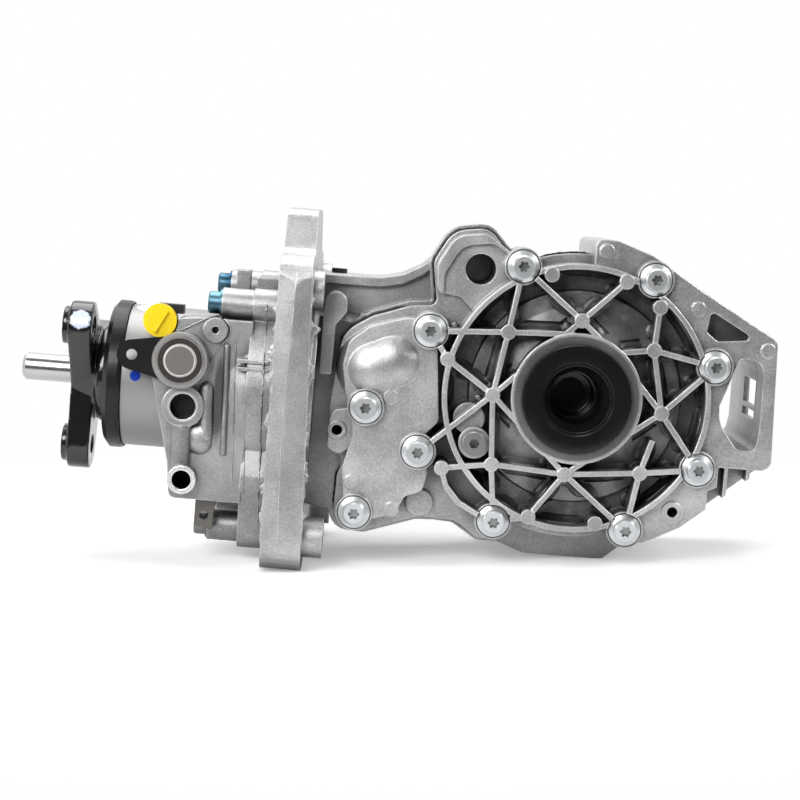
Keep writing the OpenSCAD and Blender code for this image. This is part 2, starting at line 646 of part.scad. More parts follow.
module coupling_flange(x0, x1) {
    rod_x(x0, x1, coupling_flange_r);
    for (p = coupling_bolt_places) translate([0, p[0], p[1]]) rod_x(x0, x1, 10);
    slab_x(x0, x1) polygon(rounded([[-foot_half, -foot_z, 8], [foot_half, -foot_z, 8],
        [coupling_flange_r - 7, -40, 10], [40, 0, 0], [-40, 0, 0], [7 - coupling_flange_r, -50, 10]]));
    slab_x(x0, x1) polygon([[-28, 40], [-28, coupling_flange_r + 6.5], [14, coupling_flange_r + 6.5],
        [14, 40]]);
}

module coupling_housing() {
    color(cast) difference() {
        union() {
            coupling_flange(plate_x - 15, coupling_x1);
            turn_x([[can_back, 0], [can_back, 46], [plate_x - 25, 50], [plate_x - 14, 54],
                [plate_x - 14, 0]]);
            for (p = coupling_bolt_places) translate([0, p[0], p[1]]) rod_x(bolt_seat_x, plate_x - 14, 9);
            slab_y(-49, -can_r - 0.6) polygon(block_outline);
            intersection() {
                slab_y(-49, -20) polygon(block_outline);
                difference() {
                    rod_x(54, 100, 60);
                    rod_x(50, 101, can_r + 0.6);
                }
            }
            translate([plate_x - 28, -49, -64]) cube([14, 40, 104]);
            spot(port_mid) rod_y(port_face_y + 3.1, -44, 12);
            spot(port_low) rod_y(port_face_y - 4, -30, 8.2);
            spot(cap_place) rod_y(port_face_y + 4, -44, 16);
            spot(ear_place) rod_y(port_face_y + 4, -44, 7);
            for (z = [12.5, 17]) translate([plate_x - 21, -57, z]) cube([18, 16, 2]);
            translate([can_back + 1, -25, 40]) cube([8, 10, 28]);
            translate([port_mid[0], -49, port_low[1]]) cylinder(r = 6, h = 30, $fn = round_fn);
        }
        ring_x(can_back - 30, can_back + 6, 0, can_r + seat_gap);
        rod_x(can_back, piston_x0 - 0.5, can_r - can_wall);
        ring_x(piston_x0 - 1, piston_x1, piston_inner_r - 0.05, piston_r + run_gap);
        rod_x(piston_x0 - 1, piston_x0 + 0.5, piston_r + run_gap);
        rod_x(can_back, coupling_x1 + over, 17);
        rod_x(pinion_seal_x - 0.1, coupling_x1 + over, 20 + seat_gap);
        rod_x(coupling_x1 - 4, coupling_x1 + over, 24);
        for (p = coupling_bolt_places)
            translate([0, p[0], p[1]]) rod_x(bolt_seat_x - over, plate_x, m8_r + 0.4);
        for (p = dowel_places) translate([0, p[0], p[1]]) rod_x(plate_x - 8, plate_x, dowel_r + seat_gap);
        spot(port_mid) rod_y(port_face_y - over, -43.5, port_mid_r);
        spot(port_low) rod_y(port_face_y - 5, -36, port_low_r);
        spot(cap_place) rod_y(port_face_y - over, -46, 12 + seat_gap);
        spot(ear_place) rod_y(port_face_y - over, -46, 2);
        spot(connector_place) {
            rod_y(port_face_y - over, -30, connector_r + seat_gap);
            rod_y(port_face_y - over, -46.9, 10.2);
        }
    }
}
piston_inner_r = 24;

module coupling_gasket() {
    color("dimgray") difference() {
        coupling_flange(coupling_x1 + 0.02, plate_x - 0.02);
        rod_x(coupling_x1 - over, plate_x + over, 32);
        for (p = coupling_bolt_places)
            translate([0, p[0], p[1]]) rod_x(plate_x - 3, plate_x + over, m8_r + 0.4);
        for (p = dowel_places) translate([0, p[0], p[1]]) rod_x(plate_x - 3, plate_x + over, dowel_r + 0.4);
    }
}

module dowels() color(steel) for (p = dowel_places) translate([0, p[0], p[1]])
    ring_x(plate_x - 7.5, plate_x + 5.5, 2.6, dowel_r);

module clutch_can() {
    color("lightgray") turn_x([[can_front, 30 + seat_gap], [seal_in_x1 + 1.5, 30 + seat_gap],
        [seal_in_x1 + 1.5, 27], [bearing_in_x0 - 0.1, 27],
        [bearing_in_x0 - 0.1, input_bearing_r + seat_gap],
        [bearing_in_x1 + 1.5, input_bearing_r + seat_gap], [bearing_in_x1 + 1.5, can_r - can_wall],
        [can_back + 5.8, can_r - can_wall], [can_back + 5.8, can_r], [can_front + 1.5, can_r],
        [can_front, can_r - 1.5]]);
}

module accumulator_cap() color("gainsboro") spot(cap_place)
    turn_y([[port_face_y - 3, 0], [port_face_y - 3, 8.5], [port_face_y - 1.6, 9.3],
        [port_face_y - 1.6, 13], [port_face_y - 3.4, 14.2], [port_face_y - 3.4, 15.6],
        [port_face_y - 1, 16], [port_face_y + 2.9, 16], [port_face_y + 2.9, 12], [-46.2, 12], [-46.2, 0]]);

// Flat steel bracket held under the accumulator cap
module harness_bracket() color(black) difference() {
    slab_y(port_face_y + 3, port_face_y + 3.95) difference() {
        hull() {
            translate([42.1, 16.3]) circle(r = 8.5, $fn = 32);
            translate(cap_place) circle(r = 14, $fn = 32);
        }
        translate([42.1, 16.3]) circle(r = 3.1, $fn = 32);
    }
    spot(cap_place) rod_y(port_face_y, -45, 12 + seat_gap);
}

// Bent steel tab screwed behind the coupling housing's corner
module corner_tab() color("darkkhaki") slab_y(-can_r - 0.55 + seat_gap, -can_r + 1.45) difference() {
    polygon([[83, -80], [93.6, -82], [94, -57], [83, -57]]);
    translate([88.5, -74]) circle(r = 2.6, $fn = 24);
}

connector_place = [56.4, 36.6];
connector_r = 8.4;
module harness_connector() color(black) spot(connector_place) {
    rod_y(-46.9, -31.2, connector_r);
    slab_y(-42, -32) translate([-2, 4.1]) square([14, 5]);
}
module connector_cap() color("gold") spot(connector_place) {
    rod_y(-50.6, -46.95, 9.5);
    rotate([0, 28, 0]) translate([-1.5, -52.9, -7]) cube([3, 3, 14]);
}

module fill_plug() color("gainsboro") at_axle() spot(fill_boss) difference() {
    turn_y([[rib_y - 2.4, 0], [rib_y - 2.4, 6.2], [rib_y - 1.8, 6.8], [rib_y + 1.9, 6.8],
        [rib_y + 1.9, 6.5], [joint_y - 8, 6.5], [joint_y - 8, 0]]);
    slab_y(rib_y - 3, rib_y + 2.5) circle(r = 2.9, $fn = 6);
}

module drain_plug() color("gainsboro") translate(drain_place) difference() {
    union() {
        cylinder(r = 7, h = 12, $fn = round_fn);
        translate([0, 0, -1]) cylinder(r = 9.4, h = 1.5 - seat_gap, $fn = round_fn);
    }
    translate([0, 0, -2]) cylinder(r = 4.6, h = 9, $fn = 6);
}

module breather() color(black) translate(breather_place) {
    translate([0, 0, -10]) cylinder(r = 3, h = 10.5, $fn = round_fn);
    translate([0, 0, seat_gap]) cylinder(r = 4.6, h = 2.4, $fn = round_fn);
}

module output_seals() color(black) at_axle() {
    seal_ring(near_seal_y0, near_seal_y1, 1);
    seal_ring(far_seal_y1, far_seal_y0, -1);
}
module seal_ring(y0, y1, dir) turn_y([[y0, seal_lip_r + 2], [y0, seal_r], [y1, seal_r], [y1, seal_r - 3.5],
    [y0 + dir * 2.4, seal_r - 3.5], [y0 + dir * 2.4, seal_lip_r + 3], [y0 + dir * 5, seal_lip_r + 2],
    [y0 + dir * 5, seal_lip_r], [y0 + dir * 3, seal_lip_r], [y0 + dir, seal_lip_r + 0.6]]);
seal_lip_r = 20.2;

module input_seal() color(black) turn_x([[seal_in_x0, tail_seal_r + run_gap], [seal_in_x0, 30],
    [seal_in_x1, 30], [seal_in_x1, 27], [seal_in_x0 + 2.4, 27], [seal_in_x0 + 2.4, 22],
    [seal_in_x0 + 4.5, tail_seal_r + run_gap]]);

module pinion_seal() color(black) ring_x(pinion_seal_x, pinion_seal_x + 7, pinion_seal_r + run_gap, 20);
pinion_seal_x = coupling_x1 - 11.6;

// One row of rollers about the X axis
module rollers_x(x0, x1, pitch_r, roller_r, count) for (i = [0:count - 1])
    rotate([360 / count * i, 0, 0]) translate([0, 0, pitch_r]) rod_x(x0, x1, roller_r);

module input_bearing_outer()
    color(steel) ring_x(bearing_in_x0, bearing_in_x1, ball_pitch_r + ball_r + roller_gap, input_bearing_r);
ball_r = 3.6;
ball_pitch_r = 27.5;
module input_bearing_inner() color(steel) {
    ring_x(bearing_in_x0, bearing_in_x1, input_journal_r + seat_gap, ball_pitch_r - ball_r - roller_gap);
    rollers_x(bearing_in_x0 + 1, bearing_in_x1 - 1, ball_pitch_r, ball_r, 14);
}

head_roller_r = 3.2;
head_pitch_r = 25;
tail_roller_r = 3;
tail_pitch_r = 23;
module pinion_bearing_cups() color(steel) {
    ring_x(tail_x0, tail_x1, tail_pitch_r + tail_roller_r + roller_gap, tail_bearing_r);
    ring_x(head_x0, head_x1, head_pitch_r + head_roller_r + roller_gap, head_bearing_r);
}
module pinion_tail_cone() color(steel) {
    ring_x(tail_x0, tail_x1, tail_journal_r + seat_gap, tail_pitch_r - tail_roller_r - roller_gap);
    rollers_x(tail_x0 + 1.5, tail_x1 - 1.5, tail_pitch_r, tail_roller_r, 14);
}
module pinion_head_cone() color(steel) {
    ring_x(head_x0, head_x1, head_journal_r + seat_gap, head_pitch_r - head_roller_r - roller_gap);
    rollers_x(head_x0 + 1.5, head_x1 - 1.5, head_pitch_r, head_roller_r, 14);
}

diff_roller_r = 2;
diff_pitch_r = 25;
module diff_bearing_cups() color(steel) at_axle() {
    ring_y(near_cup_y0, near_cup_y1, diff_pitch_r + diff_roller_r + roller_gap, diff_bearing_r);
    ring_y(far_cup_y0, far_cup_y1, diff_pitch_r + diff_roller_r + roller_gap, diff_bearing_r);
}
module diff_cone(y0) color(steel) at_axle() {
    ring_y(y0, y0 + diff_bearing_w, journal_r + seat_gap, diff_pitch_r - diff_roller_r - roller_gap);
    for (i = [0:17]) rotate([0, 20 * i, 0]) translate([0, 0, diff_pitch_r])
        rod_y(y0 + 1.5, y0 + diff_bearing_w - 1.5, diff_roller_r);
}
module diff_cone_near() diff_cone(near_cup_y0);
module diff_cone_far() diff_cone(far_cup_y0);

arm_circle_r = flange_pcd / 2;
module flange_arms() for (i = [0:2]) rotate(arm_angle + 120 * i) translate([arm_circle_r, 0]) children();

module companion_flange() color(black) difference() {
    union() {
        slab_x(arm_x0, arm_x1) {
            for (i = [0:2]) rotate(arm_angle + 120 * i) hull() {
                translate([arm_circle_r, 0]) circle(r = arm_end_r, $fn = 32);
                circle(r = 21, $fn = 32);
            }
        }
        slab_x(0, arm_x0 + over) flange_arms() circle(r = pad_r, $fn = round_fn);
        turn_x([[arm_x0 + 1, 0], [arm_x0 + 1, 23], [arm_x1, 25], [arm_x1 + 2, neck_r - 1.5],
            [arm_x1 + 3.5, neck_r], [neck_x1, neck_r], [neck_x1, tail_seal_r],
            [bearing_in_x0 - seat_gap, tail_seal_r], [bearing_in_x0 - seat_gap, 0]]);
    }
    slab_x(-over, arm_x1 + 10) flange_arms() circle(r = flange_hole_r, $fn = round_fn);
    rod_x(-over, 12, 19.5);
    rod_x(0, bearing_in_x0 + over, shaft_r + seat_gap);
}

module input_shaft() color("silver") difference() {
    turn_x([[-pin_len, 0], [-pin_len, pin_r - 2], [2 - pin_len, pin_r], [3, pin_r], [3, 11], [13, 11],
        [13, shaft_r], [bearing_in_x0, shaft_r], [bearing_in_x0, input_journal_r],
        [bearing_in_x1, input_journal_r], [bearing_in_x1, 22], [drum_x0, 22], [drum_x0, 20],
        [drum_x0 + drum_web + 1, 20], [drum_x0 + drum_web + 1, 0]]);
    rod_x(drum_x0 - 12, drum_x0 + drum_web + 2, pilot_bore_r);
}

module flange_nut() color(steel) difference() {
    union() {
        slab_x(4.6, 12 - seat_gap) circle(r = 17, $fn = 6);
        rod_x(9.5, 12 - seat_gap, 18.5);
    }
    rod_x(0, 14, 11 + seat_gap);
}

module dust_ring() color(black) turn_x([[dust_x0, neck_r + seat_gap], [dust_x0, 40],
    [dust_x0 + 3, dust_ring_r], [dust_x1 - 2, dust_ring_r], [dust_x1, dust_ring_r - 0.5],
    [dust_x1, can_r + 0.6], [can_front - 1, can_r + 0.6], [can_front - 1, can_r - 4], [dust_x0 + 3, 36],
    [neck_x1 + 0.5, 33], [neck_x1 + 0.5, neck_r + seat_gap]]);

drum_in_r = drum_r - drum_wall;
lug_count = 8;
module lugs(r_in, r_out, w) for (i = [0:lug_count - 1]) rotate(360 / lug_count * i)
    translate([r_in, -w / 2]) square([r_out - r_in, w]);

module clutch_drum() color("lightgray") difference() {
    union() {
        ring_x(drum_x0, drum_x0 + drum_web, 20 + seat_gap, drum_r);
        ring_x(drum_x0 + 1, drum_x1, drum_in_r, drum_r);
    }
    slab_x(drum_x0 + drum_web, drum_x1 + over) lugs(drum_in_r - 1, drum_in_r + 1.4, 8);
}

module steel_plates() color("darkgray") for (i = [0:plate_pairs - 1]) {
    x = stack_x0 + plate_pitch * i;
    slab_x(x, x + clutch_plate_t) drum_disc();
}
module drum_disc() difference() {
    union() {
        circle(r = drum_in_r - 0.4, $fn = round_fn);
        lugs(drum_in_r - 2, drum_in_r + 1.1, 7.4);
    }
    circle(r = clutch_hub_r + 2, $fn = round_fn);
}
module pressure_plate() color("darkgray") slab_x(pressure_x0, pressure_x1) drum_disc();

module friction_plates() color("sienna") for (i = [0:plate_pairs - 1]) {
    x = stack_x0 + plate_pitch * (i + 0.5);
    slab_x(x, x + clutch_plate_t) difference() {
        circle(r = drum_in_r - 1.4, $fn = round_fn);
        difference() {
            circle(r = clutch_hub_r + 0.4, $fn = round_fn);
            lugs(clutch_hub_r - 1.2, clutch_hub_r + 2, 5.4);
        }
    }
}

hub_x0 = stack_x0 - 0.4;
hub_x1 = stack_x1 + 1;
module clutch_hub() color(steel) difference() {
    union() {
        ring_x(hub_x0, hub_x1, clutch_hub_r - 4, clutch_hub_r);
        ring_x(hub_x1 - 6, hub_x1, hub_spline_r + seat_gap, clutch_hub_r);
    }
    slab_x(hub_x0 - over, hub_x1 + over) lugs(clutch_hub_r - 1.7, clutch_hub_r + 1, 6);
}
module hub_snap_ring()
    color(steel) ring_x(hub_x1 - 8, hub_x1 - 6 - seat_gap, hub_spline_r - 1 + seat_gap, hub_spline_r + 2);

module pilot_bearing()
    color(steel)
        ring_x(drum_x0 - 10, drum_x0 + drum_web - 1, pinion_nose_r + run_gap, pilot_bore_r - seat_gap);

module pinion_nut() color(steel) difference() {
    slab_x(tail_x0 - 9, tail_x0 - seat_gap) circle(r = 20, $fn = 6);
    rod_x(tail_x0 - 10, tail_x0, 14.5 + seat_gap);
}
module pinion_spacer()
    color(steel) ring_x(tail_x1 + seat_gap, head_x0 - seat_gap, tail_journal_r + seat_gap, 19);

module clutch_piston()
    color("lightgray") ring_x(piston_x0, piston_x1 - 1.5, piston_inner_r + run_gap, piston_r);
module thrust_bearing() color(steel) ring_x(thrust_x0, thrust_x1, piston_inner_r + 1.5, piston_r - 0.5);
module piston_seals() color(black) {
    ring_x(piston_x1 - 1.45, piston_x1 - 0.3, piston_r - 1.5, piston_r);
    ring_x(piston_x1 - 1.45, piston_x1 - 0.3, piston_inner_r + run_gap, piston_inner_r + 1.5);
}
// Hypoid gears. The ring gear's slots are face-milled, and the pinion's flanks are their envelope.
stations = 5;
ring_addendum = 0.9;
pinion_addendum = 2.5;
mean_u = (ring_r_in + ring_r_out) / 2 / sin(ring_cone);
cut_u = mean_u - cutter_r * sin(spiral_angle);
gear_ratio = -ring_teeth / pinion_teeth;
function station_u(k) = (ring_r_in + ring_face * k / (stations - 1)) / sin(ring_cone);
function degrees_on(arc, r) = arc / r * 180 / PI;
function slot_mid(u) =
    degrees_on(sqrt(cutter_r ^ 2 - (u - cut_u) ^ 2) - cutter_r * cos(spiral_angle), u * sin(ring_cone));
function slot_half(u, h, play) = degrees_on(
    (slot_w / 2 * u / mean_u + h * tan(hypoid_pressure) + play) / cos(spiral_angle), u * sin(ring_cone));
function cone_point(u, h, a) = let (r = u * sin(ring_cone) + h * cos(ring_cone))
    [-r * cos(a), h * sin(ring_cone) - u * cos(ring_cone), r * sin(a)];
function flank(u, h, side, play) = cone_point(u, h, slot_mid(u) + side * slot_half(u, h, play));
function unit(v) = v / norm(v);
function flank_normal(u, h, side) = unit(cross(flank(u + 0.01, h, side, 0) - flank(u - 0.01, h, side, 0),
    flank(u, h + 0.01, side, 0) - flank(u, h - 0.01, side, 0)));
function near_zero(a, b) = let (p = (a + b + 540) % 360 - 180, q = (a - b + 540) % 360 - 180)
    abs(p) < abs(q) ? p : q;

// Ring gear angle at which a flank point touches the pinion
function mesh_angle(p, n) = let (
        m = cross(p, n), c = n * cross([0, 1, 0], p) / gear_ratio + hypoid_offset * n[1])
    near_zero(atan2(m[2], m[0]), acos(c / norm([m[0], m[2]])));
function about_y(p, a) = [p[0] * cos(a) + p[2] * sin(a), p[1], p[2] * cos(a) - p[0] * sin(a)];
function about_x(p, a) = [p[0], p[1] * cos(a) - p[2] * sin(a), p[1] * sin(a) + p[2] * cos(a)];
function pinion_point(u, h, side) =
    let (p = flank(u, h, side, 0), a = mesh_angle(p, flank_normal(u, h, side)))
    about_x(about_y(p, a) + [0, 0, hypoid_offset], -gear_ratio * a);

// Distance from the pinion axis to the ring gear's root cone
function root_height(x, z) = norm([x, z]) / tan(ring_cone) + (pinion_addendum + root_gap) / sin(ring_cone);
function root_reach(x) =
    min([for (z = [-2 * hypoid_offset:1:0]) norm([root_height(x, z), z + hypoid_offset])]);
function tip_excess(u, h, side) = let (p = pinion_point(u, h, side))
    norm([p[1], p[2]]) - root_reach(p[0]) + root_gap;
function tip_level(u, side, low, high, steps) = let (mid = (low + high) / 2)
    steps == 0 ? mid
    : tip_excess(u, mid, side) > 0 ? tip_level(u, side, mid, high, steps - 1)
    : tip_level(u, side, low, mid, steps - 1);
root_level = ring_addendum + root_gap;
function pinion_flank(u, side) = let (tip = tip_level(u, side, -pinion_addendum, root_level, 9))
    [for (share = [0, 0.35, 0.7, 1]) pinion_point(u, root_level + (tip - root_level) * share, side)];
function backwards(v) = [for (i = [len(v) - 1:-1:0]) v[i]];

// Triangles between two neighbouring loops of equal length
function band(j, k, n) = [for (i = [0:n - 1]) let (i2 = (i + 1) % n)
    each [[j * n + i, j * n + i2, k * n + i2], [j * n + i, k * n + i2, k * n + i]]];

module ring_gear() {
    slot = [[-1, ring_addendum], [-1, -pinion_addendum - root_gap], [1, -pinion_addendum - root_gap],
        [1, ring_addendum]];
    rows = [for (k = [0:stations - 1]) [for (i = [0:ring_teeth - 1]) for (q = slot)
        about_y(flank(station_u(k), q[1], q[0], backlash / 2), i * 360 / ring_teeth)]];
    front_y = rows[0][1][1] - 1;
    back = [for (p = rows[stations - 1]) on_circle(p, ring_r_out + ring_rim, ring_back_y)];
    bore = [for (y = [ring_back_y, front_y]) [for (p = rows[0]) on_circle(p, ring_bore_r, y)]];
    loops = concat(rows, [back], bore);
    n = ring_teeth * 4;
    color("slategray") at_axle() polyhedron(points = [for (loop = loops) each loop],
        faces = [for (j = [0:len(loops) - 1]) each band(j, (j + 1) % len(loops), n)]);
}
function on_circle(p, r, y) = let (a = atan2(p[2], p[0])) [r * cos(a), y, r * sin(a)];

module pinion_gear() {
    rows = [for (k = [0:stations - 1]) let (u = station_u(k),
            tooth = concat(pinion_flank(u, 1), backwards(pinion_flank(u, -1))))
        [for (i = [0:pinion_teeth - 1]) for (p = tooth) about_x(p, i * 360 / pinion_teeth)]];
    n = len(rows[0]);
    last = stations - 1;
    color("slategray") {
        translate([axle_x, 0, 0]) polyhedron(
            points = concat([for (row = rows) each row], [[rows[0][0][0], 0, 0], [rows[last][0][0], 0, 0]]),
            faces = concat([for (j = [0:last - 1]) each band(j, j + 1, n)],
                [for (i = [0:n - 1]) [(i + 1) % n, i, stations * n]],
                [for (i = [0:n - 1]) [last * n + i, last * n + (i + 1) % n, stations * n + 1]]));
        turn_x([[drum_x0 - 9, 0], [drum_x0 - 9, pinion_nose_r], [stack_x0 + 0.5, pinion_nose_r],
            [stack_x0 + 0.5, hub_spline_r], [hub_x1 - 8 - seat_gap, hub_spline_r],
            [hub_x1 - 8 - seat_gap, hub_spline_r - 1], [hub_x1 - 6, hub_spline_r - 1],
            [hub_x1 - 6, hub_spline_r], [hub_x1 + 0.5, hub_spline_r], [hub_x1 + 0.5, pinion_seal_r],
            [tail_x0 - 9.5, pinion_seal_r], [tail_x0 - 9.5, 14.5], [tail_x0, 14.5],
            [tail_x0, tail_journal_r], [head_x0, tail_journal_r], [head_x0, head_journal_r],
            [head_x1 + seat_gap, head_journal_r], [head_x1 + seat_gap, 24], [head_x1 + 12, 24],
            [head_x1 + 12, 0]]);
    }
}

// Straight bevel gears of the differential, on spherical involutes
side_angle = atan(side_teeth / spider_teeth);
spider_angle = 90 - side_angle;
bevel_module = 2 * bevel_reach * sin(side_angle) / side_teeth;
function involute_turn(g, base) = g <= base ? 0 : let (v = acos(cos(g) / cos(base)))
    v / sin(base) - atan(tan(v) / sin(base));
function bevel_half(g, pitch, teeth) = let (base = asin(cos(bevel_pressure) * sin(pitch)))
    90 / teeth - degrees_on(0.12, bevel_reach * sin(pitch))
        + involute_turn(pitch, base) - involute_turn(g, base);
function bevel_tooth(pitch, teeth) = let (
        add = degrees_on(0.8 * bevel_module, bevel_reach),
        ded = degrees_on(1.02 * bevel_module, bevel_reach),
        base = asin(cos(bevel_pressure) * sin(pitch)),
        levels = [pitch - ded, max(base, pitch - ded * 0.5), pitch, pitch + add * 0.5, pitch + add])
    [for (g = levels) [g, bevel_half(g, pitch, teeth)]];
function cone_polar(reach, g, a) = reach * [sin(g) * cos(a), sin(g) * sin(a), cos(g)];

// Teeth about +Z with the cones' apex at the origin; turn puts a tooth or a gap on the X axis
module bevel_teeth(pitch, teeth, turn) {
    tooth = bevel_tooth(pitch, teeth);
    outline = concat([for (q = tooth) [q[0], -q[1]]], backwards(tooth));
    rows = [for (reach = [bevel_reach - bevel_face, bevel_reach]) [for (i = [0:teeth - 1]) for (q = outline)
        cone_polar(reach, q[0], turn + q[1] + i * 360 / teeth)]];
    n = len(rows[0]);
    polyhedron(points = concat(rows[0], rows[1], [[0, 0, rows[0][0][2]], [0, 0, rows[1][0][2]]]),
        faces = concat(backwards_faces(band(0, 1, n)),
            [for (i = [0:n - 1]) [i, (i + 1) % n, 2 * n]],
            [for (i = [0:n - 1]) [n + (i + 1) % n, n + i, 2 * n + 1]]));
}
function backwards_faces(f) = [for (t = f) [t[0], t[2], t[1]]];

side_back = bevel_reach * cos(side_angle) + 3.5;
spider_back = bevel_reach * cos(spider_angle) + 3;
washer_t = 1;
module side_gear() difference() {
    union() {
        bevel_teeth(side_angle, side_teeth, 0);
        translate([0, 0, side_back - 1.4]) cylinder(r = 21.5, h = 1.4, $fn = round_fn);
        translate([0, 0, side_back - 4]) cylinder(r = journal_bore_r - run_gap, h = 16, $fn = round_fn);
    }
    cylinder(r = output_bore_r, h = side_back + 20, $fn = round_fn);
    cylinder(r = output_bore_r + 1.5, h = side_back + 12 - output_bore_len, $fn = round_fn);
}
module spider_gear() difference() {
    union() {
        bevel_teeth(spider_angle, spider_teeth, 180 / spider_teeth);
        translate([0, 0, spider_back - 1.8]) cylinder(r = 13.6, h = 1.8, $fn = round_fn);
    }
    cylinder(r = cross_pin_r + run_gap, h = spider_back + 20, $fn = round_fn);
}
module side_gear_near() color(steel) at_axle() rotate([90, 0, 0]) rotate(90) side_gear();
module side_gear_far() color(steel) at_axle() rotate([-90, 0, 0]) rotate(90) side_gear();
module spider_gear_top() color(steel) at_axle() rotate(90) spider_gear();
module spider_gear_bottom() color(steel) at_axle() rotate([180, 0, 0]) rotate(90) spider_gear();

module side_washers() color("peru") at_axle() for (s = [-1, 1])
    ring_y(s > 0 ? side_back + seat_gap : -side_back - seat_gap - washer_t,
        s > 0 ? side_back + seat_gap + washer_t : -side_back - seat_gap, journal_bore_r + run_gap, 23);
module spider_washers() color("peru") at_axle() for (s = [0, 180]) rotate([s, 0, 0])
    translate([0, 0, spider_back + seat_gap]) difference() {
        cylinder(r = 16, h = washer_t, $fn = round_fn);
        translate([0, 0, -over]) cylinder(r = cross_pin_r + run_gap, h = washer_t + 2, $fn = round_fn);
    }

module cross_pin() color(steel) at_axle() difference() {
    translate([0, 0, 0.5 - case_r]) cylinder(r = cross_pin_r, h = 2 * case_r - 1, $fn = round_fn);
    lock_hole(2 + seat_gap);
}
module lock_hole(r) translate([0, 0, lock_z]) rod_x(-20, 20, r);
module lock_pin() color(steel) at_axle() translate([0, 0, lock_z]) rod_x(-14, 14, 2);

case_in_y = side_back + washer_t + 3 * seat_gap;
case_in_z = spider_back + washer_t + 3 * seat_gap;
case_r = case_in_z + case_wall;
lock_z = case_r - 5;
module differential_case() color("dimgray") at_axle() difference() {
    turn_y([[near_cup_y0 - 1, 0], [near_cup_y0 - 1, journal_r], [near_cup_y1 + seat_gap, journal_r],
        [near_cup_y1 + seat_gap, 24], [ring_back_y - 3, 24], [ring_back_y - 3, 48],
        [ring_back_y - seat_gap, 48], [ring_back_y - seat_gap, ring_bore_r - seat_gap],
        [ring_back_y + 11.4, ring_bore_r - seat_gap], [ring_back_y + 11.4, case_r], [25, case_r],
        [33, 31], [33, 24], [far_cup_y0 - seat_gap, 24], [far_cup_y0 - seat_gap, journal_r],
        [far_cup_y1 + 1, journal_r], [far_cup_y1 + 1, 0]]);
    rod_y(near_cup_y0 - 2, far_cup_y1 + 2, journal_bore_r);
    rod_y(-case_in_y, case_in_y, bevel_reach * sin(side_angle) + 2.4);
    translate([0, 0, -case_in_z]) cylinder(r = bevel_reach * sin(spider_angle) + 3.3, h = 2 * case_in_z,
        $fn = round_fn);
    translate([0, 0, -case_r - 2]) cylinder(r = cross_pin_r + seat_gap, h = 2 * case_r + 4, $fn = round_fn);
    rod_x(-case_r - 2, case_r + 2, 19);
    lock_hole(2 + seat_gap);
}

main_housing();
side_cover();
coupling_housing();
clutch_can();
cover_sealant();
coupling_gasket();
cover_bolts();
coupling_bolts();
accumulator_cap();
harness_connector();
connector_cap();
harness_bracket();
corner_tab();
fill_plug();
drain_plug();
breather();
dowels();
output_seals();
input_seal();
pinion_seal();
input_bearing_outer();
pinion_bearing_cups();
diff_bearing_cups();
companion_flange();
input_shaft();
flange_nut();
dust_ring();
clutch_drum();
steel_plates();
pressure_plate();
input_bearing_inner();
pilot_bearing();
pinion_gear();
clutch_hub();
friction_plates();
hub_snap_ring();
pinion_nut();
pinion_spacer();
pinion_tail_cone();
pinion_head_cone();
clutch_piston();
thrust_bearing();
piston_seals();
differential_case();
ring_gear();
cross_pin();
lock_pin();
side_washers();
spider_washers();
diff_cone_near();
diff_cone_far();
side_gear_near();
side_gear_far();
spider_gear_top();
spider_gear_bottom();
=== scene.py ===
"""Looks of a car's rear final drive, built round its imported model. Metres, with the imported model's axes."""

import math

import bmesh
import bpy
from mathutils import Matrix, Vector, noise


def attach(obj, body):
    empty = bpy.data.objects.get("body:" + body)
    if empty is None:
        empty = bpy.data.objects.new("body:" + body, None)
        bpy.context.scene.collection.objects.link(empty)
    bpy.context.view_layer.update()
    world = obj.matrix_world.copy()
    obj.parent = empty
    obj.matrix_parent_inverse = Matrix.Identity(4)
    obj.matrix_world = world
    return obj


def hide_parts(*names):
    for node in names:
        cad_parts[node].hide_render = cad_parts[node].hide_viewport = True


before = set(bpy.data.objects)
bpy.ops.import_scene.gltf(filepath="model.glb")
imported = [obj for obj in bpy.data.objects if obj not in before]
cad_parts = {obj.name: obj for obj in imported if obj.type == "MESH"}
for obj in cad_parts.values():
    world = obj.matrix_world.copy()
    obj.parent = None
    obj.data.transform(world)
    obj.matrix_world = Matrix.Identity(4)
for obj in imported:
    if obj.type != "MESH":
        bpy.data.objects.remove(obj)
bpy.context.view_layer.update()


# The whole unit stands on the foot of its mounting plate and on its sump, nose up by a few degrees.
# It is seen square to the side cover, from just above, with a long lens and no lens shift.
tilt = math.radians(4.7)
elevation = math.radians(5.663)
distance = 1.2
level = Matrix.Rotation(-tilt, 4, "Y")
aim = level @ Vector((0.1949, -0.0007, -0.0183))
away = level @ Vector((0, -math.cos(elevation), math.sin(elevation)))
look_down = Matrix.Rotation(math.pi / 2 - elevation, 4, "X")
camera = bpy.data.objects.new("camera", bpy.data.cameras.new("camera"))
bpy.context.collection.objects.link(camera)
camera.data.lens = 91.2
camera.data.sensor_width = 36
camera.matrix_world = Matrix.Translation(aim + away * distance) @ level @ look_down
bpy.context.scene.camera = camera
bpy.context.scene.view_settings.view_transform = "Standard"


